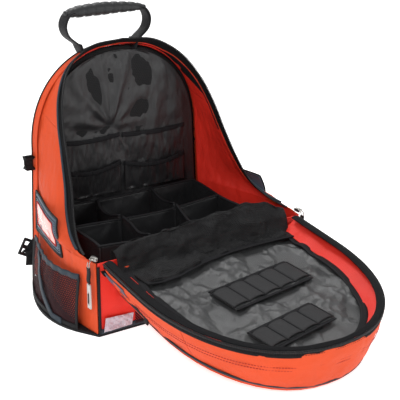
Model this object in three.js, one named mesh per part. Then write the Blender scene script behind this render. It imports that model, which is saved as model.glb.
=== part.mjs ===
// Soft trauma backpack, standing, with its clamshell lid unzipped and laid forward on the floor.
// Millimetres. +X is the right seen from the open front, +Y is the back panel, +Z is up.
// The origin is the middle of the base, on the floor.
import * as THREE from 'three';

// Driving dimensions
const frontWidth = 444; // across the two front corner seams
const backWidth = 386; // across the foot of the back panel
const backHeight = 446; // floor to the top of the back panel
const rimLift = 14; // the body's zip rim ends above the back panel
const bagDepth = 318; // front wall to the outside of the back panel
const hingeHeight = 138; // floor to the lid's hinge line
const lidLength = 376; // hinge to the far end of the open lid
const lidWidth = 422;
const lidDepth = 72; // rim to outer face at the hinge
const lidEndRise = 84; // floor to the rim at the lid's far end
const liningDrop = 27; // rim to the lid's lining

// Cloth, pads and webbing
const clothWall = 3;
const backPad = 14;
const basePad = 5;
const tapeWidth = 22;
const tapeWall = 2;
const lidTapeWidth = 15;
const webThick = 2.4;
const seamGap = 0.4; // between pieces that are sewn or pressed together
const foldGap = 3; // between curved walls that meet edge to edge
const hingeGap = 2; // between the front wall and the lid
const sideBulge = 16; // how far the side walls belly out

// Pockets and dividers
const pocketReach = 32; // how far a side mesh pocket stands out
const pocketHeight = 106;
const dividerHeight = 146;
const dividerWall = 3;
const dividerColumns = [-172, -66, 58, 166];
const dividerRows = [128, 14, -108];
const dividerSkew = 0.07; // the loose insert sits slightly askew

// Handle, straps and buckles
const handleSpan = 120;
const handleRise = 48;
const handleWeb = 32;
const gripRadius = 11;
const handleOffset = -20; // the soft handle leans to the left
const strapWidth = 62;
const strapPad = 12;
const strapSpacing = 190;
const webWidth = 25;
const sternumDrop = 116; // top of the back panel to the sternum strap
const sternumLift = 5; // the sternum strap stays clear of the bowed shoulder straps

const orange = { color: 0xe8552b, roughness: 0.75, metalness: 0 };
const red = { color: 0xd8321f, roughness: 0.8, metalness: 0 };
const black = { color: 0x1b1b1d, roughness: 0.8, metalness: 0 };
const nylon = { color: 0x3a3b3e, roughness: 0.5, metalness: 0 };
const mesh = { color: 0x5a2a2c, roughness: 0.8, metalness: 0 };
const blackMesh = { color: 0x222224, roughness: 0.85, metalness: 0 };
const trim = { color: 0x4b5963, roughness: 0.6, metalness: 0 };
const clear = { color: 0xe79a90, roughness: 0.2, metalness: 0 };
const plastic = { color: 0x141416, roughness: 0.45, metalness: 0 };
const rubber = { color: 0x202124, roughness: 0.7, metalness: 0 };
const metal = { color: 0xb9bab5, roughness: 0.35, metalness: 0.9 };
const silver = { color: 0xc9c9c2, roughness: 0.4, metalness: 0 };

const bag = new THREE.Group();
const v3 = (x, y, z) => new THREE.Vector3(x, y, z);
const lerp = THREE.MathUtils.lerp;
const frontY = -bagDepth / 2;
const backY = bagDepth / 2;
const rimHeight = backHeight + rimLift;
const sternumHeight = backHeight - sternumDrop;
const liningY = backY - backPad - seamGap; // inner face of the back panel
const hingeY = frontY - hingeGap;

function add(name, geometry, finish) {
  const piece = new THREE.Mesh(geometry, new THREE.MeshStandardMaterial(finish));
  piece.name = name;
  bag.add(piece);
  return piece;
}

// Turns every triangle outwards, whichever way the piece was warped.
function faceOut(geometry) {
  const index = geometry.index.array;
  const at = geometry.attributes.position;
  const corner = [v3(), v3(), v3()];
  let volume = 0;
  for (let i = 0; i < index.length; i += 3) {
    corner.forEach((c, k) => c.fromBufferAttribute(at, index[i + k]));
    volume += corner[0].dot(corner[1].cross(corner[2]));
  }
  if (volume < 0) {
    for (let i = 0; i < index.length; i += 3) {
      const second = index[i + 1];
      index[i + 1] = index[i + 2];
      index[i + 2] = second;
    }
  }
  geometry.computeVertexNormals();
  return geometry;
}

// A closed cloth wall: surface(u, v) is its middle, with u and v from 0 to 1.
function wall(surface, thickness, nu, nv) {
  const geometry = new THREE.BoxGeometry(1, 1, 1, nu, nv, 1);
  const at = geometry.attributes.position;
  const step = 0.002;
  for (let i = 0; i < at.count; i += 1) {
    const u = at.getX(i) + 0.5;
    const v = at.getY(i) + 0.5;
    const alongU = surface(Math.min(u + step, 1), v).sub(surface(Math.max(u - step, 0), v));
    const alongV = surface(u, Math.min(v + step, 1)).sub(surface(u, Math.max(v - step, 0)));
    const normal = alongU.cross(alongV).normalize();
    const point = surface(u, v).addScaledVector(normal, thickness * at.getZ(i));
    at.setXYZ(i, point.x, point.y, point.z);
  }
  return faceOut(geometry);
}

const mirrored = (surface) => (u, v) => surface(u, v).multiply(v3(-1, 1, 1));

// A flat slab cut to an outline in X and Z, from frontFace towards +Y.
function slabXZ(points, frontFace, thickness) {
  const shape = new THREE.Shape(points.map(([x, z]) => new THREE.Vector2(x, z)));
  const geometry = new THREE.ExtrudeGeometry(shape, { depth: thickness, bevelEnabled: false });
  geometry.rotateX(Math.PI / 2);
  geometry.translate(0, frontFace + thickness, 0);
  return geometry;
}

function box(width, depth, height, x, y, z) {
  return new THREE.BoxGeometry(width, depth, height).translate(x, y, z);
}

// ---- Body outline -------------------------------------------------------
// Each side of the back panel runs straight to archStart and then over an elliptical arch.
const sideShare = 0.55;
const archStart = 262;
const archHalf = backWidth / 2 - 12;
const archPower = 2 / 2.15;

function backOutline(a, inset = 0) {
  if (a < sideShare) {
    const rise = a / sideShare;
    return v3(-lerp(backWidth / 2, archHalf, rise) + inset, liningY, rise * archStart);
  }
  const angle = ((a - sideShare) / (1 - sideShare)) * (Math.PI / 2);
  const across = Math.cos(angle) ** archPower;
  const up = Math.sin(angle) ** archPower;
  return v3(-(archHalf - inset) * (angle > 1.5707 ? 0 : across), liningY,
    archStart + (backHeight - inset - archStart) * up);
}

// Left half of the zip rim: shares of the half width, of the depth and of the rise to the top.
const rimShares = [
  [1, 0, 0], [1.015, 0.1, 0.006], [0.965, 0.26, 0.035], [0.895, 0.395, 0.115], [0.835, 0.485, 0.25],
  [0.79, 0.585, 0.42], [0.755, 0.67, 0.58], [0.69, 0.755, 0.735], [0.56, 0.835, 0.875],
  [0.32, 0.88, 0.975], [0, 0.885, 1],
];
const rimPoints = rimShares.map(([w, d, h]) => v3(
  (-w * frontWidth) / 2, frontY + d * bagDepth, hingeHeight + h * (rimHeight - hingeHeight),
));
const rimCurve = new THREE.CatmullRomCurve3(rimPoints, false, 'centripetal');
const hingeShare = (sideShare * hingeHeight) / archStart;

function rimAt(a) {
  if (a <= hingeShare) {
    return v3(-frontWidth / 2, frontY + clothWall, (a / sideShare) * archStart);
  }
  const point = rimCurve.getPointAt(Math.min((a - hingeShare) / (1 - hingeShare), 1));
  return a > 0.9999 ? v3(0, point.y, point.z) : point;
}

// The gusset wall of the body: a runs up the left side to the top, v from back panel to rim.
function gusset(a, v) {
  const point = backOutline(a).lerp(rimAt(a), v);
  const low = 1 - THREE.MathUtils.smoothstep(a, hingeShare, sideShare + 0.1);
  point.x -= sideBulge * low * Math.sin(Math.PI * v ** 1.4);
  return point;
}

const tapeFoot = hingeShare + 0.054; // the tape starts a little way round the corner
function tapeStart(a) {
  const reach = backOutline(a).distanceTo(rimAt(a));
  return 1 - Math.min(tapeWidth / reach, 0.6);
}

function gussetEnd(a) {
  const reach = backOutline(a).distanceTo(rimAt(a));
  const taper = THREE.MathUtils.smoothstep(a, hingeShare, tapeFoot - 0.014);
  return lerp(1 - 0.5 / reach, tapeStart(a) - foldGap / reach, taper);
}

function gussetFrom(a) {
  return 1.6 / backOutline(a).distanceTo(rimAt(a));
}

// ---- Body walls ---------------------------------------------------------
const topShare = 0.66; // where the side walls meet the top wall
const floorShare = (sideShare * (basePad + seamGap)) / archStart;
const sidePanel = (u, v) => {
  const a = lerp(floorShare, topShare, u);
  return gusset(a, lerp(gussetFrom(a), gussetEnd(a), v));
};
add('side_panel_left', wall(sidePanel, clothWall, 26, 12), orange);
add('side_panel_right', wall(mirrored(sidePanel), clothWall, 26, 12), orange);

const overTop = (u, foot, place) => {
  const a = 1 - (1 - foot) * Math.abs(2 * u - 1);
  const point = place(a);
  return u > 0.5 ? point.multiply(v3(-1, 1, 1)) : point;
};
const topFoot = topShare + 0.0025;
const topPanel = (u, v) => overTop(u, topFoot, (a) => gusset(a, lerp(gussetFrom(a), gussetEnd(a), v)));
add('top_panel', wall(topPanel, clothWall, 28, 3), orange);

const bodyTape = (u, v) => overTop(u, tapeFoot, (a) => gusset(a, lerp(tapeStart(a), 1, v)));
add('body_zip_tape', wall(bodyTape, tapeWall, 84, 1), black);

const backSteps = 22;
const backHalf = Array.from({ length: backSteps + 1 }, (_, i) => backOutline(i / backSteps, -clothWall));
const backLeft = backHalf.map((p) => [p.x, p.z]);
const backRight = backLeft.slice(0, -1).reverse().map(([x, z]) => [-x, z]);
const backFoot = basePad + seamGap;
const backOutlinePoints = [...backLeft, ...backRight].map(([x, z]) => [x, Math.max(z, backFoot)]);
add('back_panel', slabXZ(backOutlinePoints, backY - backPad, backPad), orange);

const frontFoot = basePad + seamGap;
const frontHalf = frontWidth / 2 - clothWall / 2 - seamGap;
add('front_panel', box(2 * frontHalf, clothWall, hingeHeight - frontFoot, 0,
  frontY + clothWall / 2, (hingeHeight + frontFoot) / 2), red);

// Loose mesh lining that stands over the front wall, higher on the right.
const humpFoot = hingeHeight + seamGap;
const humpInset = 34;
const hump = [
  [-frontHalf + humpInset, humpFoot], [frontHalf - humpInset, humpFoot],
  [frontHalf - humpInset, humpFoot + 22], [118, humpFoot + 45], [40, humpFoot + 40],
  [-60, humpFoot + 26], [-frontHalf + humpInset, humpFoot + 14],
];
add('front_mesh_lining', slabXZ(hump, frontY + clothWall + 4, 6), blackMesh);

// ---- Back lining pockets ------------------------------------------------
const pocketY = liningY - 7;
const pocketWall = 5;
function backPocket(name, x0, x1, z0, z1, y) {
  add(name, box(x1 - x0, pocketWall, z1 - z0, (x0 + x1) / 2, y, (z0 + z1) / 2), nylon);
}
backPocket('upper_pocket_left', -150, -4, 176, 270, pocketY);
backPocket('upper_pocket_right', 2, 150, 176, 268, pocketY);
backPocket('lower_pocket_left', -146, -6, 150, 214, pocketY - pocketWall - seamGap);
backPocket('lower_pocket_right', 4, 146, 150, 210, pocketY - pocketWall - seamGap);

// ---- Divider insert -----------------------------------------------------
// Rows run along X and columns along Y, and the columns are broken at each row.
const insertFoot = basePad + seamGap;
const insertMiddle = (insertFoot + dividerHeight) / 2;
const insertRise = dividerHeight - insertFoot;
const skewAt = (y) => dividerSkew * (y - dividerRows[0]);
function skewed(x, y) {
  return new THREE.Vector2(x + skewAt(y), y);
}
function ring(inset) {
  const [left, , , right] = dividerColumns;
  const [back, , front] = dividerRows;
  return [skewed(left + inset, front + inset), skewed(right - inset, front + inset),
    skewed(right - inset, back - inset), skewed(left + inset, back - inset)];
}
const frameShape = new THREE.Shape(ring(0));
frameShape.holes.push(new THREE.Path(ring(dividerWall)));
add('divider_frame', new THREE.ExtrudeGeometry(frameShape, { depth: insertRise, bevelEnabled: false })
  .translate(0, 0, insertFoot), nylon);
const middleY = dividerRows[1];
const middleFrom = dividerColumns[0] + dividerWall + seamGap + skewAt(middleY);
const middleTo = dividerColumns[3] - dividerWall - seamGap + skewAt(middleY);
const middleWall = (u, v) => v3(lerp(middleFrom, middleTo, u), middleY, lerp(insertFoot, dividerHeight, v));
add('divider_middle', wall(middleWall, dividerWall, 1, 1), nylon);
const columnEnds = [
  ['rear', dividerRows[0] - dividerWall - seamGap, middleY + dividerWall / 2 + seamGap],
  ['fore', middleY - dividerWall / 2 - seamGap, dividerRows[2] + dividerWall + seamGap],
];
['left', 'right'].forEach((side, i) => {
  columnEnds.forEach(([place, from, to]) => {
    const panel = (u, v) => {
      const y = lerp(from, to, u);
      return v3(dividerColumns[i + 1] + skewAt(y), y, lerp(insertFoot, dividerHeight, v));
    };
    add(`divider_${side}_${place}`, wall(panel, dividerWall, 1, 1), nylon);
  });
});

// ---- Side pockets, windows and tabs -------------------------------------
// A strip laid on the side wall, standing off it by lift.
function onSide(y0, y1, z0, z1, lift) {
  return (u, v) => {
    const z = lerp(z0(u), z1(u), v);
    const y = lerp(y0(v), y1(v), u);
    const a = (sideShare * z) / archStart;
    let low = 0;
    let high = 1;
    for (let i = 0; i < 24; i += 1) {
      const middle = (low + high) / 2;
      if (gusset(a, middle).y > y) low = middle;
      else high = middle;
    }
    const point = gusset(a, low);
    return v3(point.x - clothWall / 2 - lift, y, z);
  };
}
const fixed = (value) => () => value;
const pocketFront = frontY + 42;
const pocketBack = backY - 34;
const hemHeight = (u) => lerp(pocketHeight - 10, pocketHeight, u);
const pouchReach = (u, v) => pocketReach * Math.sin(Math.PI * lerp(0.06, 0.94, u)) ** 0.6
  * (1 - 0.5 * v ** 2.2);
const pocketFoot = 6;
const pouchWall = 3;
const flatPouch = onSide(fixed(pocketBack), fixed(pocketFront), fixed(pocketFoot), (u) => hemHeight(u) - 9, 4);
const pouch = (u, v) => {
  const point = flatPouch(u, v);
  point.x -= pouchReach(u, v);
  return point;
};
// The base follows the foot of the side walls and widens to close the side pockets.
const footSteps = 12;
const baseEdge = Array.from({ length: footSteps + 1 }, (_, i) => pouch(i / footSteps, 0))
  .map((p) => [p.x - pouchWall / 2, p.y]);
const baseLeft = [
  [gusset(0, 0).x, backY], [gusset(0, 0).x - clothWall / 2, liningY], ...baseEdge, [-frontWidth / 2, frontY],
];
const baseRight = baseLeft.toReversed().map(([x, y]) => [-x, y]);
const baseShape = new THREE.Shape([...baseLeft, ...baseRight].map(([x, y]) => new THREE.Vector2(x, y)));
add('base_panel', new THREE.ExtrudeGeometry(baseShape, { depth: basePad, bevelEnabled: false }), orange);

const hemBand = onSide(fixed(pocketBack), fixed(pocketFront), (u) => hemHeight(u) - 8, hemHeight, 4);
const hem = (u, v) => {
  const point = hemBand(u, v);
  point.x -= pouchReach(u, 1);
  return point;
};
const windowLift = 5;
const windowFoot = (u) => lerp(106, 116, u);
const windowHead = (u) => lerp(184, 180, u);
const windowFront = (v) => lerp(-46, -24, v);
const windowTrim = onSide(fixed(134), windowFront, windowFoot, windowHead, windowLift);
const windowPane = onSide(fixed(122), (v) => windowFront(v) + 14, (u) => windowFoot(u) + 14,
  (u) => windowHead(u) - 14, windowLift + 4);
const sides = [['left', (s) => s], ['right', mirrored]];
sides.forEach(([side, turn]) => {
  add(`mesh_pocket_${side}`, wall(turn(pouch), pouchWall, 12, 7), mesh);
  add(`pocket_hem_${side}`, wall(turn(hem), pouchWall + 1, 12, 1), black);
  add(`window_trim_${side}`, wall(turn(windowTrim), 2, 12, 4), trim);
  add(`id_window_${side}`, wall(turn(windowPane), 1.6, 10, 3), clear);
});
const tabReach = 14;
sides.forEach(([side], i) => {
  const sign = i === 0 ? -1 : 1;
  const x = sign * (archHalf + clothWall + seamGap + tabReach / 2 + 6);
  add(`side_tab_${side}`, box(tabReach, 12, webWidth, x, backY - backPad / 2, 236), black);
});

add('front_patch', box(56, 1.6, 30, -frontHalf + 36, frontY - 0.8 - seamGap, 20), silver);

// ---- Lid ----------------------------------------------------------------
// s is the share of the lid's length, and u runs round one side to the middle of the far end.
const lidArchStart = 0.3;
const lidArchPower = 2 / 2.2;
const rimRise = (s) => lerp(hingeHeight, lidEndRise, s);
const lidFloorGap = 1;
const panelWall = 4;
const wallFlare = 40; // the side walls lean in towards the outer face
const endFlare = 22; // and the far end's wall leans less
const wallBow = 1.3;
const faceEnd = (lidLength - endFlare) / lidLength;
const faceRise = (s) => lerp(hingeHeight - lidDepth, lidFloorGap + panelWall, s / faceEnd);

function lidOutline(u, inset = 0) {
  const half = lidWidth / 2 - inset;
  const length = lidLength - (inset * endFlare) / wallFlare;
  if (u < 0.5) {
    const s = 2 * u * lidArchStart;
    return new THREE.Vector2(-half, s * lidLength);
  }
  const angle = (u - 0.5) * Math.PI;
  const across = angle > 1.5707 ? 0 : Math.cos(angle) ** lidArchPower;
  const along = Math.sin(angle) ** lidArchPower;
  const start = lidArchStart * lidLength;
  return new THREE.Vector2(-half * across, start + (length - start) * along);
}

function lidWall(u, v) {
  const edge = lidOutline(u, wallFlare * v ** wallBow);
  const s = edge.y / lidLength;
  return v3(edge.x, hingeY - edge.y, lerp(rimRise(s), faceRise(s) + foldGap / 2, v));
}

const lidSplit = 0.62;
const lidFoot = 0.006;
const lidSide = (u, v) => lidWall(lerp(lidFoot, lidSplit, u), v);
add('lid_side_left', wall(lidSide, clothWall, 12, 5), orange);
add('lid_side_right', wall(mirrored(lidSide), clothWall, 12, 5), orange);
const lidEndFoot = lidSplit + 0.0016;
const lidEnd = (u, v) => overTop(u, lidEndFoot, (a) => lidWall(a, v));
add('lid_end_wall', wall(lidEnd, clothWall, 32, 5), orange);
const lidTape = (u, v) => overTop(u, lidFoot + 0.02, (a) => {
  const edge = lidOutline(a, lerp(-1, lidTapeWidth, v));
  return v3(edge.x, hingeY - edge.y, rimRise(edge.y / lidLength) + tapeWall / 2 + clothWall / 2 + seamGap);
});
add('lid_zip_tape', wall(lidTape, tapeWall, 60, 1), black);

// A panel that fills the lid's outline at a level, given by its rise at the hinge and the far end.
function lidPanel(inset, atHinge, atEnd, thickness, from = 0) {
  const steps = 24;
  const half = Array.from({ length: steps + 1 }, (_, i) => lidOutline(i / steps, inset));
  const clipped = half.map((p) => new THREE.Vector2(p.x, Math.max(p.y, from)));
  const other = clipped.slice(0, -1).reverse().map((p) => new THREE.Vector2(-p.x, p.y));
  const shape = new THREE.Shape([...clipped, ...other]);
  const slope = Math.atan2(atEnd - atHinge, lidLength);
  return new THREE.ExtrudeGeometry(shape, { depth: thickness, bevelEnabled: false })
    .rotateX(slope)
    .scale(1, -1, 1)
    .translate(0, hingeY, atHinge);
}
const liningInset = wallFlare * 0.5 ** wallBow + clothWall / 2 + foldGap / 2;
const faceInset = wallFlare - clothWall / 2;
const hingeWallY = hingeY - seamGap - clothWall / 2;
const lidLiningGeometry = lidPanel(liningInset, hingeHeight - liningDrop - clothWall,
  lidEndRise - liningDrop - clothWall, clothWall, 2);
add('lid_lining', faceOut(indexed(lidLiningGeometry)), nylon);
const faceAtEnd = faceRise(1) - panelWall;
add('lid_panel', faceOut(indexed(lidPanel(faceInset, hingeHeight - lidDepth - panelWall, faceAtEnd,
  panelWall, 2))), orange);

// Extruded shapes carry no index, so one is given before they are turned outwards.
function indexed(geometry) {
  const count = geometry.attributes.position.count;
  geometry.setIndex(Array.from({ length: count }, (_, i) => i));
  return geometry;
}

const pouchSpan = 230;
const pouchLong = 190;
const pouchDeep = 9;
const faceSlope = (faceRise(1) - faceRise(0)) / lidLength;
const pouchMiddle = 165;
const lidPouch = new THREE.BoxGeometry(pouchSpan, pouchLong, pouchDeep).rotateX(-Math.atan(faceSlope));
add('lid_pouch', lidPouch.translate(0, hingeY - pouchMiddle,
  hingeHeight - lidDepth - panelWall + faceSlope * pouchMiddle - pouchDeep / 2 - 1), orange);

const hingeWallTop = hingeHeight - liningDrop - clothWall - seamGap - 2;
const hingeWallFoot = hingeHeight - lidDepth + seamGap + 1;
const hingeWallHalf = lidWidth / 2 - wallFlare - 4;
add('lid_hinge_wall', box(2 * hingeWallHalf, clothWall, hingeWallTop - hingeWallFoot, 0,
  hingeWallY - 3, (hingeWallTop + hingeWallFoot) / 2), red);

// Height of the lining's face at a distance from the hinge.
const liningSlope = (lidEndRise - hingeHeight) / lidLength;
const liningTop = (distance) => hingeHeight - liningDrop + liningSlope * distance;
function onLining(width, length, thickness, x, distance, turn, lift) {
  const geometry = new THREE.BoxGeometry(width, length, thickness);
  geometry.rotateZ(turn);
  geometry.rotateX(-Math.atan(liningSlope));
  return geometry.translate(x, hingeY - distance, liningTop(distance) + lift + thickness / 2);
}
const meshDepth = 58;
add('lid_mesh_pocket', onLining(lidWidth - 60, meshDepth, 2, 0, meshDepth / 2 + 6, 0, seamGap + 0.3), blackMesh);
add('lid_mesh_hem', onLining(lidWidth - 80, 9, 2.4, 0, meshDepth + 6 + 5.2, 0, seamGap + 0.3), black);

// Elastic strip with standing loops, seen from its side as a row of low arches.
function loopStrip(loops, length, width, x, distance, turn) {
  const shape = new THREE.Shape();
  const bar = 5;
  const pitch = length / loops;
  shape.moveTo(0, 0);
  shape.lineTo(length, 0);
  shape.lineTo(length, 1.6);
  for (let i = loops; i > 0; i -= 1) {
    shape.lineTo(i * pitch - bar, 1.6);
    shape.absellipse((i - 0.5) * pitch, 1.6, pitch / 2 - bar, 3.4, 0, Math.PI, false);
    shape.lineTo((i - 1) * pitch + bar, 1.6);
  }
  shape.lineTo(0, 1.6);
  const geometry = new THREE.ExtrudeGeometry(shape, { depth: width, bevelEnabled: false, curveSegments: 4 });
  geometry.translate(-length / 2, 0, -width / 2);
  geometry.rotateX(Math.PI / 2);
  geometry.rotateZ(turn);
  geometry.rotateX(-Math.atan(liningSlope));
  return geometry.translate(x, hingeY - distance, liningTop(distance) + seamGap + 0.4);
}
add('loop_strip_near', loopStrip(5, 186, 66, 18, 148, 0.15), black);
add('loop_strip_far', loopStrip(4, 150, 56, -15, 274, 0.18), black);

// Reflective strips and the outer pouch of the lid.
const stripBand = (v0, v1, u0, u1, lift) => (u, v) => {
  const point = lidWall(lerp(u0, u1, u), lerp(v0, v1, v));
  point.x -= clothWall / 2 + lift;
  return point;
};
const stripSurface = stripBand(0.2, 0.42, 0.03, 0.3, 1.6);
sides.forEach(([side, turn]) => {
  add(`reflective_strip_${side}`, wall(turn(stripSurface), 1.2, 6, 1), trim);
});

// ---- Zip sliders and pulls ----------------------------------------------
const sliderAt = rimCurve.getPointAt(0.012);
const sliderRise = 8; // slider's middle above the rim
const pullOut = 8.5; // how far outside the rim the pull hangs
const pullWeb = [12, 44]; // width and length of the webbing
const pullBar = [11, 46]; // width and length of the stiff bar
const pullThick = 3;
sides.forEach(([side], i) => {
  const sign = i === 0 ? 1 : -1;
  const profile = new THREE.Shape();
  profile.absellipse(0, 0, 9, 5, 0, Math.PI * 2);
  const slider = new THREE.ExtrudeGeometry(profile, { depth: 8, bevelEnabled: true, bevelSize: 0.8,
    bevelThickness: 0.8, bevelSegments: 1, curveSegments: 8 });
  slider.rotateY(Math.PI / 2).rotateX(Math.PI / 2);
  slider.translate(sign * sliderAt.x - 4, sliderAt.y, sliderAt.z + sliderRise);
  add(`zip_slider_${side}`, slider, metal);

  const [webHalf, webLong] = [pullWeb[0] / 2, pullWeb[1]];
  const [barHalf, barLong] = [pullBar[0] / 2, pullBar[1]];
  const pull = new THREE.Shape();
  pull.moveTo(-barHalf, 0);
  pull.lineTo(barHalf, 0);
  pull.lineTo(barHalf, barLong);
  pull.lineTo(webHalf, barLong + 8);
  pull.lineTo(webHalf / 2, barLong + webLong);
  pull.lineTo(-webHalf / 2, barLong + webLong);
  pull.lineTo(-webHalf, barLong + 8);
  pull.lineTo(-barHalf, barLong);
  pull.closePath();
  const slot = new THREE.Path();
  slot.moveTo(-1.6, 6);
  slot.lineTo(-1.6, 28);
  slot.lineTo(1.6, 28);
  slot.lineTo(1.6, 6);
  slot.closePath();
  pull.holes.push(slot);
  const pullGeometry = new THREE.ExtrudeGeometry(pull, { depth: pullThick, bevelEnabled: false });
  pullGeometry.rotateX(Math.PI / 2).rotateZ(Math.PI / 2);
  pullGeometry.translate(sign * (sliderAt.x - pullOut) - (i === 0 ? 0 : pullThick), sliderAt.y,
    sliderAt.z + sliderRise - barLong - webLong);
  add(`zip_puller_${side}`, pullGeometry, silver);
});

// ---- Carry handle -------------------------------------------------------
// Two webbing legs bow outwards from the top seam and run into a moulded grip.
const handleY = backY - backPad / 2;
const handleFoot = backHeight + 5.5;
const legShares = [[0.5, 0], [0.66, 0.26], [0.78, 0.6], [0.755, 0.86], [0.7, 1]];
const legCurve = new THREE.CatmullRomCurve3(legShares.map(([x, z]) => v3(
  -x * handleSpan, handleY, handleFoot + z * handleRise,
)));
const leg = (u, v) => {
  const point = legCurve.getPoint(v);
  point.y += (u - 0.5) * handleWeb;
  return v3(point.x, point.y, point.z);
};
const moved = (surface, x) => (u, v) => surface(u, v).add(v3(x, 0, 0));
add('handle_leg_left', wall(moved(leg, handleOffset), webThick, 1, 10), black);
add('handle_leg_right', wall(moved(mirrored(leg), handleOffset), webThick, 1, 10), black);
const gripHalf = 0.7 * handleSpan + 2;
const gripFoot = handleFoot + handleRise + webThick + seamGap;
const gripCrown = 5;
const gripCurve = new THREE.CatmullRomCurve3([-1, -0.5, 0, 0.5, 1].map((x) => v3(
  x * gripHalf + handleOffset, handleY, gripFoot + gripRadius + gripCrown * (1 - x ** 2),
)));
const gripSection = new THREE.Shape();
gripSection.absarc(0, 0, gripRadius, 0, Math.PI * 2);
add('handle_grip', new THREE.ExtrudeGeometry(gripSection, { steps: 14, extrudePath: gripCurve,
  curveSegments: 6 }), rubber);

// ---- Harness on the back ------------------------------------------------
const strapTop = backHeight - 42;
const strapFoot = 150;
const strapOff = 6; // clear of the back panel at the ends
const strapBow = 16; // and this much more in the middle
const strapMiddle = (v) => -lerp(strapSpacing * 0.25, strapSpacing / 2, Math.sin((v * Math.PI) / 2));
const strapY = (v) => backY + strapOff + strapPad / 2 + strapBow * Math.sin(Math.PI * v);
const strap = (u, v) => v3(strapMiddle(v) + (u - 0.5) * strapWidth * (1 - 0.25 * v), strapY(v),
  lerp(strapTop, strapFoot, v));
const lockAt = v3(-(backWidth / 2 + 6), backY + 7, 58);
const webTop = v3(strapMiddle(1), strapY(1), strapFoot - seamGap);
const lowerWeb = (u, v) => {
  const point = webTop.clone().lerp(lockAt, v);
  return v3(point.x + (u - 0.5) * webWidth * 0.8, point.y, point.z - (u - 0.5) * webWidth * -0.6 - 8);
};
sides.forEach(([side, turn]) => {
  add(`shoulder_strap_${side}`, wall(turn(strap), strapPad, 3, 14), black);
  add(`strap_web_${side}`, wall(turn(lowerWeb), webThick, 1, 1), black);
});
const lockSize = [34, 5, 36];
sides.forEach(([side], i) => {
  const sign = i === 0 ? -1 : 1;
  const plate = new THREE.Shape();
  const [lockWidth, lockThick, lockTall] = lockSize;
  plate.moveTo(-lockWidth / 2, -lockTall / 2);
  plate.lineTo(lockWidth / 2, -lockTall / 2);
  plate.lineTo(lockWidth / 2, lockTall / 2);
  plate.lineTo(-lockWidth / 2, lockTall / 2);
  plate.closePath();
  [-1, 1].forEach((half) => {
    const slot = new THREE.Path();
    const middle = half * lockTall * 0.22;
    slot.moveTo(-webWidth / 2, middle - 4);
    slot.lineTo(-webWidth / 2, middle + 4);
    slot.lineTo(webWidth / 2, middle + 4);
    slot.lineTo(webWidth / 2, middle - 4);
    slot.closePath();
    plate.holes.push(slot);
  });
  const geometry = new THREE.ExtrudeGeometry(plate, { depth: lockThick, bevelEnabled: false });
  geometry.rotateX(Math.PI / 2).rotateY(sign * -0.5);
  geometry.translate(-sign * lockAt.x, lockAt.y + webThick / 2 + lockThick + 3, lockAt.z - 4);
  add(`ladder_lock_${side}`, geometry, plastic);
});

// Sternum strap: a web from each shoulder strap to a side-release buckle.
const sternumShare = (strapTop - sternumHeight) / (strapTop - strapFoot);
const sternumY = strapY(sternumShare) + (strapPad + webThick) / 2 + sternumLift;
const buckleHalf = 26;
const sternumReach = -strapMiddle(sternumShare) + 8;
const sternumWeb = (from, to) => (u, v) => v3(lerp(from, to, u), sternumY, sternumHeight + (v - 0.5) * 20);
add('sternum_web_left', wall(sternumWeb(-sternumReach, -buckleHalf), webThick, 1, 1), black);
add('sternum_web_right', wall(sternumWeb(buckleHalf, sternumReach), webThick, 1, 1), black);
function buckle(from, to, half) {
  const shape = new THREE.Shape();
  const corner = 4;
  shape.moveTo(from + corner, -half);
  shape.lineTo(to - corner, -half);
  shape.lineTo(to, -half + corner);
  shape.lineTo(to, half - corner);
  shape.lineTo(to - corner, half);
  shape.lineTo(from + corner, half);
  shape.lineTo(from, half - corner);
  shape.lineTo(from, -half + corner);
  shape.closePath();
  const geometry = new THREE.ExtrudeGeometry(shape, { depth: 8, bevelEnabled: false });
  return geometry.rotateX(Math.PI / 2).translate(0, sternumY + 4, sternumHeight);
}
add('sternum_buckle_socket', buckle(-buckleHalf + seamGap, 4, 15), plastic);
add('sternum_buckle_plug', buckle(4 + seamGap, buckleHalf - seamGap, 12), plastic);

export default bag;
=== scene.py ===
# Soft trauma backpack, open: cloth, mesh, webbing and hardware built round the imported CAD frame.
# Metres. +X is the right seen from the open front, +Y is the back panel, +Z is up.
import math

import bpy
import numpy as np
from mathutils import Matrix, Vector, noise


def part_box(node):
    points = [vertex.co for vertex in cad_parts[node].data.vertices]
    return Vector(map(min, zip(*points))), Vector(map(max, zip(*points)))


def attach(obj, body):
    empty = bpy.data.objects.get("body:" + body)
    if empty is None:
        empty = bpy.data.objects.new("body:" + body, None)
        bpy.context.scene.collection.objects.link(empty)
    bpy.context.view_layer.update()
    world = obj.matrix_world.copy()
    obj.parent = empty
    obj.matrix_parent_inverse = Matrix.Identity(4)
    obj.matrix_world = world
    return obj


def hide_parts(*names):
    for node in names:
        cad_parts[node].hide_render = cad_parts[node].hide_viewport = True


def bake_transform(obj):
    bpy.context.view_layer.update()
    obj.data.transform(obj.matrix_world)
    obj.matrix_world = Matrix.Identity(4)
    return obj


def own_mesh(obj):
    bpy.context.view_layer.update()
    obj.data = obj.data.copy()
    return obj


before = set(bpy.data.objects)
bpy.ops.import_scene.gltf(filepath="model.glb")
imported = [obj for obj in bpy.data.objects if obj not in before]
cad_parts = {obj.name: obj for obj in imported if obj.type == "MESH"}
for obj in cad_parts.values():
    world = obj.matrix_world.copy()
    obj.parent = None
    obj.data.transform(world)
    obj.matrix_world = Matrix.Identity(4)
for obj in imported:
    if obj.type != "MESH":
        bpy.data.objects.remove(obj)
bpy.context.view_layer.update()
print("frame loaded:", len(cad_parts), "nodes")

view = {"azimuth": -34, "elevation": 19, "distance": 1.9, "lens": 92.7, "target": (0.02, -0.115, 0.195)}


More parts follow.
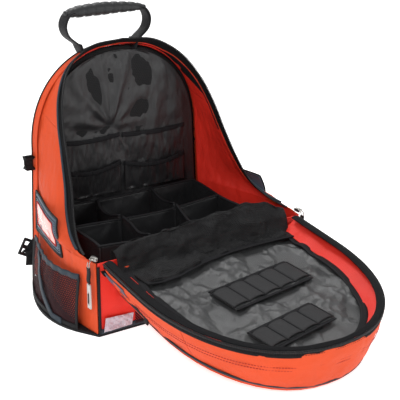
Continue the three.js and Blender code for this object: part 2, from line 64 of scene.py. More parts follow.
def makeCamera():
    camera = bpy.data.objects.new("viewCamera", bpy.data.cameras.new("viewCamera"))
    bpy.context.scene.collection.objects.link(camera)
    around, up = math.radians(view["azimuth"]), math.radians(view["elevation"])
    back = Vector((math.sin(around) * math.cos(up), -math.cos(around) * math.cos(up), math.sin(up)))
    camera.location = Vector(view["target"]) + back * view["distance"]
    camera.rotation_euler = (-back).to_track_quat("-Z", "Y").to_euler()
    camera.data.lens = view["lens"]
    camera.data.clip_start = 0.05
    bpy.context.scene.camera = camera


makeCamera()


class Term:
    # A socket whose value can be used in plain arithmetic.
    def __init__(self, paint, socket):
        self.paint = paint
        self.socket = socket

    def math(self, operation, first, second=0.0):
        return self.paint.node("ShaderNodeMath", {"operation": operation}, {0: first, 1: second})

    def __add__(self, other):
        return self.math("ADD", self, other)

    __radd__ = __add__

    def __mul__(self, other):
        return self.math("MULTIPLY", self, other)

    __rmul__ = __mul__

    def __sub__(self, other):
        return self.math("SUBTRACT", self, other)

    def __rsub__(self, other):
        return self.math("SUBTRACT", other, self)

    def __truediv__(self, other):
        return self.math("DIVIDE", self, other)

    def __pow__(self, other):
        return self.math("POWER", self, other)

    def __gt__(self, other):
        return self.math("GREATER_THAN", self, other)

    def __lt__(self, other):
        return self.math("LESS_THAN", self, other)

    def __mod__(self, other):
        return self.math("FLOORED_MODULO", self, other)

    def sine(self):
        return self.math("SINE", self)

    def whole(self):
        return self.math("FLOOR", self)

    def size(self):
        return self.math("ABSOLUTE", self)


class Paint:
    # One material. Sockets that are the same all over are set in the settings dictionary.
    def __init__(self, name, color, roughness=0.7, **fixed):
        self.material = bpy.data.materials.new(name)
        self.material.use_nodes = True
        self.tree = self.material.node_tree
        self.tree.nodes.clear()
        self.surface = self.tree.nodes.new("ShaderNodeBsdfPrincipled")
        self.output = self.tree.nodes.new("ShaderNodeOutputMaterial")
        self.tree.links.new(self.surface.outputs[0], self.output.inputs[0])
        self.feed(self.surface.inputs["Base Color"], (*color, 1.0))
        self.feed(self.surface.inputs["Roughness"], roughness)
        for key, value in fixed.items():
            self.surface.inputs[key.replace("_", " ")].default_value = value

    def feed(self, socket, value):
        if isinstance(value, Term):
            self.tree.links.new(value.socket, socket)
        else:
            socket.default_value = value

    def node(self, kind, settings=None, sockets=None, out=0):
        made = self.tree.nodes.new(kind)
        for key, value in (settings or {}).items():
            if key == "stops":
                ramp = made.color_ramp.elements
                while len(ramp) < len(value):
                    ramp.new(0.5)
                for element, (place, color) in zip(ramp, value):
                    element.position = place
                    element.color = (*color, 1.0)
            else:
                setattr(made, key, value)
        for key, value in (sockets or {}).items():
            self.feed(made.inputs[key], value)
        return Term(self, made.outputs[out])

    def put(self, name, value):
        self.feed(self.surface.inputs[name], value)

    def place(self, source="UV", scale=(1, 1, 1), turn=0.0):
        # Object or UV coordinates in metres, times scale.
        found = self.node("ShaderNodeTexCoord", out=source)
        return self.node("ShaderNodeMapping", {}, {0: found, "Rotation": (0, 0, turn), "Scale": scale})

    def axes(self, place):
        return [self.node("ShaderNodeSeparateXYZ", {}, {0: place}, out=i) for i in range(3)]

    def speckle(self, place, scale, detail=2.0, rough=0.5):
        sockets = {"Vector": place, "Scale": scale, "Detail": detail, "Roughness": rough}
        return self.node("ShaderNodeTexNoise", {}, sockets)

    def mix(self, share, first, second):
        sockets = {"Factor": share, "A": first, "B": second}
        made = self.tree.nodes.new("ShaderNodeMix")
        made.data_type = "RGBA"
        for key, place in (("Factor", 0), ("A", 6), ("B", 7)):
            value = sockets[key]
            self.feed(made.inputs[place], value if isinstance(value, (Term, float)) else (*value, 1.0))
        return Term(self, made.outputs[2])

    def ramp(self, value, stops):
        return self.node("ShaderNodeValToRGB", {"stops": stops}, {0: value})

    def bump(self, height, distance, strength=1.0, under=None):
        sockets = {"Height": height, "Distance": distance, "Strength": strength}
        if under is not None:
            sockets["Normal"] = under
        return self.node("ShaderNodeBump", {}, sockets)


def tinted(color, share):
    return tuple(min(1.0, c * share) for c in color)


def weave(paint, place, pitch):
    # Height of a plain weave with threads pitch metres apart.
    across, along, _ = paint.axes(place)
    turns = math.pi / pitch
    warp = (across * turns).sine()
    weft = (along * turns).sine()
    cell = ((across / pitch).whole() + (along / pitch).whole()) % 2.0
    return cell * warp.size() + (1.0 - cell) * weft.size()


def clothPaint(name, color, roughness, pitch=0.0011, shade=0.8, bumpDepth=0.0002, source="UV", **fixed):
    # Woven cloth: threads, slubs, and broad patches that are a little darker and duller.
    paint = Paint(name, color, roughness, **fixed)
    place = paint.place(source)
    threads = weave(paint, place, pitch)
    broad = paint.speckle(place, 9.0, 3.0)
    fine = paint.speckle(place, 700.0, 1.0)
    worn = paint.mix(paint.ramp(broad, [(0.3, (0, 0, 0)), (0.72, (1, 1, 1))]), tinted(color, shade), color)
    # Raised thread crowns are painted lighter than the gaps between them: painted highlight; the fine speckle
    # adds random tone.
    paint.put("Base Color", paint.mix(threads * 0.35 + fine * 0.25, worn, tinted(color, 1.3)))
    paint.put("Roughness", fine * 0.12 + broad * 0.1 + (roughness - 0.1))
    paint.put("Normal", paint.bump(threads + fine * 0.4, bumpDepth))
    return paint.material


def crinkledPaint(name, color, roughness, depth=0.0016, size=28.0, **fixed):
    # Thin coated nylon: a fine weave under sharp little folds.
    paint = Paint(name, color, roughness, **fixed)
    place = paint.place("UV")
    bent = paint.node("ShaderNodeTexNoise", {}, {"Vector": place, "Scale": size * 0.6, "Detail": 3.0},
                      out="Color")
    moved = paint.node("ShaderNodeVectorMath", {"operation": "MULTIPLY_ADD"},
                       {0: bent, 1: (0.03, 0.03, 0.03), 2: place})
    folds = paint.node("ShaderNodeTexNoise", {"noise_type": "RIDGED_MULTIFRACTAL"}, {
        "Vector": moved, "Scale": size, "Detail": 3.0, "Roughness": 0.5, "Lacunarity": 2.1})
    threads = weave(paint, place, 0.0007)
    broad = paint.speckle(place, 12.0, 2.0)
    paint.put("Base Color", paint.mix(broad, tinted(color, 0.8), tinted(color, 1.25)))
    paint.put("Roughness", broad * 0.12 + (roughness - 0.05))
    under = paint.bump(threads, 0.00008)
    paint.put("Normal", paint.bump(folds, depth, 0.8, under))
    return paint.material


def meshPaint(name, thread, shadedBehind, pitch=0.0042, hole=0.36, alpha=0.0, roughness=0.7):
    # Knitted mesh: rows of round holes, every second row moved by half. Alpha is how solid a hole looks.
    paint = Paint(name, thread, roughness, Specular_IOR_Level=0.16)
    place = paint.place("UV")
    across, along, _ = paint.axes(place)
    rise = pitch * 0.8
    row = (along / rise).whole()
    shift = (row % 2.0) * 0.5
    inX = ((across / pitch + shift) % 1.0) - 0.5
    inY = ((along / rise) % 1.0) - 0.5
    far = (inX * inX + inY * inY * 0.75) ** 0.5
    opened = far < hole
    # Holes take a colour darker than the thread: painted shade inside the holes where they are not clear.
    paint.put("Base Color", paint.mix(opened, thread, shadedBehind))
    paint.put("Alpha", 1.0 - opened * (1.0 - alpha))
    paint.put("Normal", paint.bump(far, 0.0012))
    paint.material.surface_render_method = "DITHERED"
    return paint.material


def webbingPaint(name, color, roughness=0.6, pitch=0.0022):
    # Flat woven webbing: herringbone ribs across the tape, from its UV map.
    paint = Paint(name, color, roughness, Specular_IOR_Level=0.14)
    place = paint.place("UV")
    across, along, _ = paint.axes(place)
    zigzag = ((across / 0.006) % 1.0 - 0.5).size() * 0.004
    ribs = ((along + zigzag) * (math.pi / pitch)).sine().size()
    fuzz = paint.speckle(place, 900.0, 1.0)
    # Rib crowns are painted nearly twice as light and the valleys darker: painted highlight and painted
    # shade; the fuzz adds random tone.
    paint.put("Base Color", paint.mix(ribs * 0.7 + fuzz * 0.3, tinted(color, 0.6), tinted(color, 1.9)))
    paint.put("Normal", paint.bump(ribs + fuzz * 0.3, 0.0004))
    return paint.material


def mouldedPaint(name, color, roughness, grain=1400.0, depth=0.00006, source="Object", **fixed):
    # Moulded plastic, rubber or cast metal with a fine grain and faint handling marks.
    paint = Paint(name, color, roughness, **fixed)
    place = paint.place(source)
    grains = paint.speckle(place, grain, 1.0)
    marks = paint.speckle(place, 60.0, 4.0, 0.7)
    paint.put("Base Color", paint.mix(marks, tinted(color, 0.8), tinted(color, 1.3)))
    paint.put("Roughness", marks * 0.2 + (roughness - 0.1))
    paint.put("Normal", paint.bump(grains, depth))
    return paint.material


dull = {"Specular_IOR_Level": 0.14}
finishes = {
    "shell": clothPaint("orangeShell", (0.66, 0.074, 0.020), 0.6, shade=0.84, Specular_IOR_Level=0.2),
    "inner": clothPaint("redInner", (0.74, 0.026, 0.014), 0.5, shade=0.72, bumpDepth=0.00012,
                        Specular_IOR_Level=0.35),
    "tape": clothPaint("zipTape", (0.007, 0.007, 0.008), 0.75, pitch=0.0016, bumpDepth=0.0003, **dull),
    "lining": crinkledPaint("greyLining", (0.014, 0.014, 0.015), 0.34, Specular_IOR_Level=0.5),
    "lidLining": crinkledPaint("lidLining", (0.046, 0.047, 0.048), 0.33, 0.0030, 20.0,
                               Specular_IOR_Level=0.6),
    "divider": crinkledPaint("dividerNylon", (0.014, 0.014, 0.015), 0.34, 0.0009, 30.0,
                             Specular_IOR_Level=0.5),
    "binding": webbingPaint("blackBinding", (0.008, 0.008, 0.009)),
    "greyBinding": webbingPaint("slateBinding", (0.020, 0.028, 0.037), 0.5),
    "webbing": webbingPaint("blackWebbing", (0.009, 0.009, 0.010)),
    "elastic": webbingPaint("loopElastic", (0.026, 0.026, 0.027)),
    "blackMesh": meshPaint("blackMesh", (0.022, 0.022, 0.023), (0.004, 0.004, 0.004), 0.0030, 0.3, 0.6),
    "pocketMesh": meshPaint("pocketMesh", (0.035, 0.010, 0.013), (0.4, 0.03, 0.02), 0.0046, 0.34, 0.0),
    "airMesh": meshPaint("airMesh", (0.016, 0.016, 0.017), (0.006, 0.006, 0.006), 0.0044, 0.3, 1.0),
    "stitch": clothPaint("redThread", (0.35, 0.02, 0.02), 0.6, source="Object", **dull),
    "blackStitch": clothPaint("blackThread", (0.010, 0.010, 0.010), 0.6, source="Object", **dull),
    "window": mouldedPaint("clearVinyl", (0.80, 0.20, 0.15), 0.22, 300.0, 0.0003, "UV", Coat_Weight=0.3),
    "reflect": clothPaint("reflectiveTape", (0.075, 0.11, 0.15), 0.4, pitch=0.0009, bumpDepth=0.0001, **dull),
    "patch": crinkledPaint("paleReflective", (0.50, 0.46, 0.52), 0.3, 0.003, 40.0, Metallic=0.2),
    "plastic": mouldedPaint("blackAcetal", (0.008, 0.008, 0.009), 0.42, Specular_IOR_Level=0.3),
    "rubber": mouldedPaint("gripRubber", (0.016, 0.017, 0.018), 0.5, 900.0, 0.0001, Specular_IOR_Level=0.35),
    "metal": mouldedPaint("zipMetal", (0.34, 0.33, 0.31), 0.35, 600.0, 0.00005, Metallic=1.0),
    "silver": mouldedPaint("pullReflective", (0.42, 0.42, 0.40), 0.35, 500.0, 0.00008, Metallic=0.3),
    "teeth": mouldedPaint("coilTeeth", (0.012, 0.012, 0.013), 0.4, Specular_IOR_Level=0.25),
}
print("finishes made:", len(finishes))


# Mesh helpers. A surface is a function of u and v arrays that gives points (..., 3).
def lerp(a, b, t):
    return a + (b - a) * t


def smooth(low, high, t):
    s = np.clip((t - low) / (high - low), 0, 1)
    return s * s * (3 - 2 * s)


def unit(vectors):
    return vectors / np.maximum(np.linalg.norm(vectors, axis=-1, keepdims=True), 1e-12)


def mirror(points):
    return points * np.array([-1.0, 1.0, 1.0])


def gridOf(surface, nu, nv):
    u, v = np.meshgrid(np.linspace(0, 1, nu + 1), np.linspace(0, 1, nv + 1), indexing="ij")
    return surface(u, v)


def normalsOf(grid):
    return unit(np.cross(np.gradient(grid, axis=0), np.gradient(grid, axis=1)))


def outward(grid, away):
    # Grid normals, turned so that most of them point away from a point or along a direction.
    normals = normalsOf(grid)
    toward = grid - np.array(away[1]) if away[0] == "from" else np.broadcast_to(np.array(away[1]), grid.shape)
    return normals if (normals * toward).sum() > 0 else -normals


def noiseField(grid, size, seed, stretch=(1, 1, 1), kind="fractal", octaves=3):
    flat = grid.reshape(-1, 3) / size * np.array(stretch) + np.array([seed * 7.31, seed * 3.7, seed * 1.9])
    if kind == "ridge":
        found = [noise.ridged_multi_fractal(p, 1.0, 2.0, octaves, 1.0, 2.0) - 1.1 for p in flat]
    else:
        found = [noise.fractal(p, 0.9, 2.0, octaves) for p in flat]
    return np.array(found).reshape(grid.shape[:-1])


def edgeFade(shape, width=0.12):
    # 0 on the borders of a grid, 1 inside.
    u = np.linspace(0, 1, shape[0])[:, None]
    v = np.linspace(0, 1, shape[1])[None, :]
    return smooth(0, width, np.minimum(u, 1 - u)) * smooth(0, width, np.minimum(v, 1 - v))


def pushed(grid, away, amount):
    return grid + outward(grid, away) * np.asarray(amount)[..., None]


def arcLengths(grid, axis):
    steps = np.linalg.norm(np.diff(grid, axis=axis), axis=-1)
    mean = steps.mean(axis=1 - axis)
    return np.concatenate([[0], np.cumsum(mean)])


def newMesh(name, verts, faces, uvs=None, materials=(), faceMaterials=None, smoothed=True):
    data = bpy.data.meshes.new(name)
    data.from_pydata([tuple(p) for p in verts], [], faces)
    for material in materials:
        data.materials.append(finishes[material])
    if uvs is not None:
        layer = data.uv_layers.new(name="UVMap")
        loops = np.zeros(len(data.loops), dtype=np.int64)
        data.loops.foreach_get("vertex_index", loops)
        layer.data.foreach_set("uv", np.asarray(uvs, dtype=np.float64)[loops].ravel())
    if faceMaterials is not None:
        data.polygons.foreach_set("material_index", faceMaterials)
    data.polygons.foreach_set("use_smooth", [smoothed] * len(data.polygons))
    data.update()
    made = bpy.data.objects.new(name, data)
    bpy.context.scene.collection.objects.link(made)
    return made


def closedSheet(name, grid, thickness, outer, inner=None, away=("along", (0, 0, 1)), edge=None):
    # A cloth wall with its middle on the grid: two faces and a rim all round.
    normals = outward(grid, away)
    flipped = (normals * normalsOf(grid)).sum() < 0
    n, m = grid.shape[:2]
    half = np.asarray(thickness)[..., None] / 2 if np.ndim(thickness) else thickness / 2
    verts = np.concatenate([(grid + normals * half).reshape(-1, 3), (grid - normals * half).reshape(-1, 3)])
    lengthU, lengthV = arcLengths(grid, 0), arcLengths(grid, 1)
    uv = np.stack(np.meshgrid(lengthU, lengthV, indexing="ij"), axis=-1).reshape(-1, 2)
    index = np.arange(n * m).reshape(n, m)
    a, b, c, d = index[:-1, :-1], index[1:, :-1], index[1:, 1:], index[:-1, 1:]
    front = np.stack([a, b, c, d], axis=-1).reshape(-1, 4)
    if flipped:
        front = front[:, ::-1]
    back = front[:, ::-1] + n * m
    ring = np.concatenate([index[:-1, 0], index[-1, :-1], index[1:, -1][::-1], index[0, 1:][::-1]])
    after = np.roll(ring, -1)
    side = np.stack([ring, ring + n * m, after + n * m, after], axis=-1)
    if flipped:
        side = side[:, ::-1]
    faces = np.concatenate([front, back, side])
    kinds = [0] * len(front) + [1] * len(back) + [2] * len(side)
    names = (outer, inner or outer, edge or outer)
    return newMesh(name, verts, faces.tolist(), np.concatenate([uv, uv]), names, kinds)


def resampled(path, step=None, count=None, closed=False):
    points = np.asarray(path, dtype=float)
    if closed:
        points = np.concatenate([points, points[:1]])
    length = np.concatenate([[0], np.cumsum(np.linalg.norm(np.diff(points, axis=0), axis=1))])
    count = count or max(2, int(round(length[-1] / step)) + 1)
    at = np.linspace(0, length[-1], count)
    return np.stack([np.interp(at, length, points[:, k]) for k in range(3)], axis=-1)


def curved(path, count=60):
    # A smooth line through a few chosen points.
    points = [Vector(p) for p in path]
    points = [points[0] * 2 - points[1]] + points + [points[-1] * 2 - points[-2]]
    found = []
    spans = len(points) - 3
    for i in range(count):
        t = i / (count - 1) * spans
        k = min(int(t), spans - 1)
        f = t - k
        a, b, c, d = points[k:k + 4]
        found.append(0.5 * (2 * b + (c - a) * f + (2 * a - 5 * b + 4 * c - d) * f * f
                            + (3 * b - a - 3 * c + d) * f ** 3))
    return np.array(found)


def framesAlong(path, up):
    tangents = unit(np.gradient(path, axis=0))
    ups = np.broadcast_to(np.asarray(up, dtype=float), path.shape)
    across = unit(np.cross(ups, tangents))
    return tangents, across, unit(np.cross(tangents, across))


def sweep(name, path, up, section, material, capped=True, smoothed=True):
    # A closed section of (across, up) pairs drawn along a path. UV is in metres, across then along.
    path = np.asarray(path, dtype=float)
    _, across, over = framesAlong(path, up)
    section = np.asarray(section, dtype=float)
    k, n = len(section), len(path)
    verts = path[:, None] + across[:, None] * section[None, :, :1] + over[:, None] * section[None, :, 1:]
    along = np.concatenate([[0], np.cumsum(np.linalg.norm(np.diff(path, axis=0), axis=1))])
    rounded = np.concatenate([[0], np.cumsum(np.linalg.norm(np.diff(section, axis=0), axis=1))])
    uv = np.stack(np.broadcast_arrays(rounded[None, :], along[:, None]), axis=-1).reshape(-1, 2)
    index = np.arange(n * k).reshape(n, k)
    a, b = index[:-1], np.roll(index[:-1], -1, axis=1)
    c, d = np.roll(index[1:], -1, axis=1), index[1:]
    faces = np.stack([a, b, c, d], axis=-1).reshape(-1, 4).tolist()
    if capped:
        faces += [index[0][::-1].tolist(), index[-1].tolist()]
    return newMesh(name, verts.reshape(-1, 3), faces, uv, (material,), None, smoothed)


def ovalSection(width, height, sides=10):
    turn = np.arange(sides) / sides * 2 * math.pi
    return np.stack([np.cos(turn) * width / 2, np.sin(turn) * height / 2], axis=-1)


def strapSection(width, height):
    # A flat tape with rounded edges.
    w, h = width / 2, height / 2
    r = h * 0.7
    return [(-w, -h + r), (-w + r, -h), (-w / 3, -h), (w / 3, -h), (w - r, -h), (w, -h + r), (w, h - r),
            (w - r, h),
            (w / 3, h), (-w / 3, h), (-w + r, h), (-w, h - r)]


def tape(name, path, up, width, thickness, material="webbing"):
    return sweep(name, path, up, strapSection(width, thickness), material)


def cordLine(name, path, radius, material, up=(0, 0, 1), sides=8):
    return sweep(name, path, up, ovalSection(radius * 2, radius * 2, sides), material)


def stitchRow(name, path, up, pitch=0.0042, long=0.0028, wide=0.0011, lift=0.0004, material="stitch",
              slant=0.0):
    # Separate thread bars along a path; each is an eight-sided block with a raised middle.
    centres = resampled(path, pitch)
    ups = np.asarray(up, dtype=float)
    if ups.ndim == 2:
        ups = resampled(ups, count=len(centres))
    tangents, across, over = framesAlong(centres, ups)
    ahead = unit(tangents + across * slant)
    side = unit(np.cross(over, ahead))
    bar = [(-1, -1, 0), (-1, 1, 0), (1, 1, 0), (1, -1, 0), (-0.6, -0.6, 1), (-0.6, 0.6, 1), (0.6, 0.6, 1),
           (0.6, -0.6, 1)]
    quads = [(0, 1, 2, 3), (7, 6, 5, 4), (0, 4, 5, 1), (1, 5, 6, 2), (2, 6, 7, 3), (3, 7, 4, 0)]
    verts, faces = [], []
    for i, centre in enumerate(centres):
        base = len(verts)
        for x, y, z in bar:
            verts.append(centre + ahead[i] * x * long / 2 + side[i] * y * wide / 2
                         + over[i] * (z * wide * 0.7 + lift - 0.0003))
        faces += [[base + q for q in quad] for quad in quads]
    made = newMesh(name, verts, faces, None, (material,))
    recalculated(made)
    return made


def only(piece):
    bpy.ops.object.select_all(action="DESELECT")
    bpy.context.view_layer.objects.active = piece
    piece.select_set(True)


def recalculated(piece):
    only(piece)
    bpy.ops.object.mode_set(mode="EDIT")
    bpy.ops.mesh.select_all(action="SELECT")
    bpy.ops.mesh.normals_make_consistent(inside=False)
    bpy.ops.object.mode_set(mode="OBJECT")


def applied(piece, kind, **settings):
    only(piece)
    modifier = piece.modifiers.new(kind.title(), kind)
    for key, value in settings.items():
        setattr(modifier, key, value)
    bpy.ops.object.modifier_apply(modifier=modifier.name)
    return piece


def joined(name, pieces):
    bpy.ops.object.select_all(action="DESELECT")
    for piece in pieces:
        piece.select_set(True)
    bpy.context.view_layer.objects.active = pieces[0]
    bpy.ops.object.join()
    made = bpy.context.view_layer.objects.active
    made.name = name
    made.data.name = name
    return made


def fitted(piece, body, slot, *nodes):
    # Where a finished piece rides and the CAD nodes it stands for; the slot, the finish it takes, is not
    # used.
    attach(piece, body)
    if nodes:
        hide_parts(*nodes)
    return piece


def copyOfNode(name, node, material):
    # A merged copy of a CAD node's mesh, to be finished as its own piece.
    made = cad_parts[node].copy()
    made.data = made.data.copy()
    made.parent = None
    made.matrix_world = Matrix.Identity(4)
    made.name = name
    for key in list(made.keys()):
        del made[key]
    bpy.context.scene.collection.objects.link(made)
    made.data.materials.clear()
    made.data.materials.append(finishes[material])
    only(made)
    bpy.ops.object.mode_set(mode="EDIT")
    bpy.ops.mesh.select_all(action="SELECT")
    bpy.ops.mesh.remove_doubles(threshold=0.00005)
    bpy.ops.mesh.tris_convert_to_quads()
    bpy.ops.object.mode_set(mode="OBJECT")
    return made


def swollen(piece, pressure=4.0, cap=0.008, voxel=0.005, frames=20):
    # Padded cloth: the mesh is filled with air, and no point moves further than the cap.
    applied(piece, "REMESH", mode="VOXEL", voxel_size=voxel)
    start = np.array([v.co for v in piece.data.vertices])
    only(piece)
    cloth = piece.modifiers.new("Cloth", "CLOTH")
    cloth.settings.use_pressure = True
    cloth.settings.uniform_pressure_force = pressure
    cloth.settings.effector_weights.gravity = 0
    cloth.point_cache.frame_start = 1
    cloth.point_cache.frame_end = frames
    for number in range(1, frames + 1):
        bpy.context.scene.frame_set(number)
    bpy.ops.object.modifier_apply(modifier=cloth.name)
    bpy.context.scene.frame_set(1)
    end = np.array([v.co for v in piece.data.vertices])
    moved = end - start
    far = np.linalg.norm(moved, axis=1, keepdims=True)
    end = start + moved * np.minimum(1, cap / np.maximum(far, 1e-9))
    piece.data.vertices.foreach_set("co", end.ravel())
    applied(piece, "SUBSURF", levels=1, render_levels=1)
    piece.data.polygons.foreach_set("use_smooth", [True] * len(piece.data.polygons))
    return piece


# The body's curves. Overall sizes come from the frame's boxes.
clothWall = 0.003
backLow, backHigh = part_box("back_panel")
frontLow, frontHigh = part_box("front_panel")
bag = {
    "frontHalf": frontHigh.x + 0.0019,
    "backHalf": 0.193,
    "backHeight": backHigh.z - clothWall,
    "rimHeight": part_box("body_zip_tape")[1].z - 0.0008,
    "frontY": frontLow.y,
    "backY": backHigh.y,
    "liningY": backLow.y - 0.0004,
    "hingeHeight": frontHigh.z,
    "sideShare": 0.55,
    "archStart": 0.262,
    "archHalf": 0.181,
    "archPower": 2 / 2.15,
    "sideBulge": 0.016,
    "topShare": 0.66,
}
bagDepth = bag["backY"] - bag["frontY"]
rimShares = [
    (1, 0, 0), (1.015, 0.1, 0.006), (0.965, 0.26, 0.035), (0.895, 0.395, 0.115), (0.835, 0.485, 0.25),
    (0.79, 0.585, 0.42), (0.755, 0.67, 0.58), (0.69, 0.755, 0.735), (0.56, 0.835, 0.875),
    (0.32, 0.88, 0.975), (0, 0.885, 1),
]


def centripetal(points, perSpan=40):
    # The same smooth line through the rim's points as the frame has.
    points = [np.array(p) for p in points]
    points = [2 * points[0] - points[1]] + points + [2 * points[-1] - points[-2]]
    line = []
    for p0, p1, p2, p3 in zip(points, points[1:], points[2:], points[3:]):
        d0, d1, d2 = [max(np.linalg.norm(b - a) ** 0.5, 1e-4) for a, b in ((p0, p1), (p1, p2), (p2, p3))]
        t1 = ((p1 - p0) / d0 - (p2 - p0) / (d0 + d1) + (p2 - p1) / d1) * d1
        t2 = ((p2 - p1) / d1 - (p3 - p1) / (d1 + d2) + (p3 - p2) / d2) * d1
        for t in np.arange(perSpan) / perSpan:
            h = (2 * t ** 3 - 3 * t ** 2 + 1, t ** 3 - 2 * t ** 2 + t, -2 * t ** 3 + 3 * t ** 2,
                 t ** 3 - t ** 2)
            line.append(h[0] * p1 + h[1] * t1 + h[2] * p2 + h[3] * t2)
    line.append(points[-2])
    return np.array(line)


rimLine = centripetal([(-w * bag["frontHalf"], bag["frontY"] + d * bagDepth,
                        bag["hingeHeight"] + h * (bag["rimHeight"] - bag["hingeHeight"]))
                       for w, d, h in rimShares])
rimLengths = np.concatenate([[0], np.cumsum(np.linalg.norm(np.diff(rimLine, axis=0), axis=1))])
rimLengths /= rimLengths[-1]
hingeShare = bag["sideShare"] * bag["hingeHeight"] / bag["archStart"]
tapeFoot = hingeShare + 0.054


def backOutline(a, inset=0.0):
    a = np.asarray(a, dtype=float)
    rise = a / bag["sideShare"]
    straightX = -lerp(bag["backHalf"], bag["archHalf"], rise) + inset
    angle = np.clip((a - bag["sideShare"]) / (1 - bag["sideShare"]), 0, 1) * math.pi / 2
    across = np.maximum(np.cos(angle), 0) ** bag["archPower"]
    up = np.maximum(np.sin(angle), 0) ** bag["archPower"]
    across = np.where(angle > 1.5707, 0, across)
    archX = -(bag["archHalf"] - inset) * across
    archZ = bag["archStart"] + (bag["backHeight"] - inset - bag["archStart"]) * up
    low = a < bag["sideShare"]
    return np.stack([np.where(low, straightX, archX), np.full(a.shape, bag["liningY"]),
                     np.where(low, rise * bag["archStart"], archZ)], axis=-1)


def rimAt(a):
    a = np.asarray(a, dtype=float)
    share = np.clip((a - hingeShare) / (1 - hingeShare), 0, 1)
    high = np.stack([np.interp(share, rimLengths, rimLine[:, k]) for k in range(3)], axis=-1)
    low = np.stack([np.full(a.shape, -bag["frontHalf"]), np.full(a.shape, bag["frontY"] + clothWall),
                    a / bag["sideShare"] * bag["archStart"]], axis=-1)
    return np.where((a <= hingeShare)[..., None], low, high)


def gusset(a, v):
    a, v = np.broadcast_arrays(np.asarray(a, dtype=float), np.asarray(v, dtype=float))
    point = lerp(backOutline(a), rimAt(a), v[..., None])
    low = 1 - smooth(hingeShare, bag["sideShare"] + 0.1, a)
    point[..., 0] -= bag["sideBulge"] * low * np.sin(np.pi * np.clip(v, 0, 1) ** 1.4)
    return point


def gussetReach(a):
    return np.linalg.norm(backOutline(a) - rimAt(a), axis=-1)


def tapeStart(a):
    return 1 - np.minimum(0.022 / gussetReach(a), 0.6)


def gussetEnd(a):
    reach = gussetReach(a)
    return lerp(1 - 0.0005 / reach, tapeStart(a) - 0.001 / reach, smooth(hingeShare, tapeFoot - 0.014, a))


def overTop(place, foot):
    # A surface drawn from the left foot over the top to the right foot.
    def surface(u, v):
        a = 1 - (1 - foot) * np.abs(2 * u - 1)
        point = place(a, v)
        return np.where((u > 0.5)[..., None], mirror(point), point)
    return surface


def rimPath(v, lift=0.0, foot=None, count=240):
    # A line round the body's rim at a share v of the gusset, lifted off its outer face.
    foot = tapeFoot if foot is None else foot
    half = foot + (1 - foot) * np.linspace(0, 1, count // 2)
    grid = gusset(half[:, None], np.array([[v - 0.02, v, min(v + 0.02, 1.06)]]))
    normals = outward(grid, ("from", (0, 0.0, 0.2)))[:, 1]
    left = grid[:, 1] + normals * lift
    return (np.concatenate([left, mirror(left[::-1][1:])]),
            np.concatenate([normals, mirror(normals[::-1][1:])]))


def wrinkled(grid, away, depth, size, seed, fade=0.1, stretch=(1, 1, 1), kind="fractal"):
    amount = noiseField(grid, size, seed, stretch, kind) * depth * edgeFade(grid.shape[:2], fade)
    return pushed(grid, away, amount)


shellLook = {"wrinkle": 0.0022, "size": 0.09, "columns": 130, "rows": 64, "thickness": 0.0024,
             "pillow": 0.004}


def makeShell():
    floorShare = bag["sideShare"] * 0.0054 / bag["archStart"]

    def side(u, v):
        a = lerp(floorShare, bag["topShare"] + 0.001, u)
        start = 0.0016 / gussetReach(a)
        return gusset(a, lerp(start, gussetEnd(a), v))

    grid = gridOf(side, shellLook["columns"], shellLook["rows"])
    fade = edgeFade(grid.shape[:2], 0.25)
    for sign, name in ((1, "left"), (-1, "right")):
        turned = grid if sign == 1 else mirror(grid)
        away = ("along", (-sign, 0, 0))
        shaped = pushed(turned, away, fade * shellLook["pillow"])
        shaped = wrinkled(shaped, away, shellLook["wrinkle"], shellLook["size"], 3 + sign, 0.05,
                          (1, 1.5, 0.8))
        shaped = wrinkled(shaped, away, 0.0012, 0.03, 8 + sign, 0.05, (1, 2.2, 0.7))
        wall = closedSheet("sideWall_" + name, shaped, shellLook["thickness"], "shell", "inner", away)
        fitted(wall, "pack", "shell_cloth", "side_panel_" + name)

    def top(a, v):
        start = 0.0016 / gussetReach(a)
        return gusset(a, lerp(start, gussetEnd(a), v))

    grid = gridOf(overTop(top, bag["topShare"] + 0.001), 150, 16)
    away = ("from", (0, 0.1, 0.1))
    grid = wrinkled(grid, away, 0.0022, 0.045, 5, 0.12)
    wall = closedSheet("topWall", grid, shellLook["thickness"], "shell", "inner", away)
    fitted(wall, "pack", "shell_cloth", "top_panel")


def makeRim():
    # Zip tape, its coil teeth, and the bound seam between the tape and the shell.
    def tapeWall(a, v):
        return gusset(a, lerp(tapeStart(a) - 0.01, 1.0, v))

    away = ("from", (0, 0.1, 0.1))
    grid = gridOf(overTop(tapeWall, tapeFoot), 240, 8)
    grid = wrinkled(grid, away, 0.0016, 0.05, 9, 0.1)
    band = closedSheet("bodyZipTape", grid, 0.0016, "tape", "tape", away)
    fitted(band, "pack", "zip_tape", "body_zip_tape")
    path, normals = rimPath(1.0, 0.0006)
    teeth = makeTeeth("bodyZipTeeth", path, normals)
    fitted(teeth, "pack", "zip_tape")
    a = tapeFoot + (1 - tapeFoot) * np.linspace(0, 1, 130)
    left = gusset(a, tapeStart(a))
    grid = gusset(a[:, None], tapeStart(a)[:, None] + np.array([[-0.02, 0, 0.02]]))
    out = outward(grid, away)[:, 1]
    left = left + out * 0.0022
    seam = np.concatenate([left, mirror(left[::-1][1:])])
    ups = np.concatenate([out, mirror(out[::-1][1:])])
    piping = sweep("rimPiping", seam, ups, ovalSection(0.0052, 0.0042, 10), "greyBinding")
    fitted(piping, "pack", "trim")
    rows = []
    for offset in (0.2, 0.62):
        line = gusset(a, lerp(tapeStart(a), 1.0, offset)) + out * 0.0011
        line = np.concatenate([line, mirror(line[::-1][1:])])
        rows.append(stitchRow("rimStitch", line, ups, 0.0045, 0.0030, 0.0009, material="blackStitch"))
    fitted(joined("bodyTapeStitches", rows), "pack", "zip_tape")


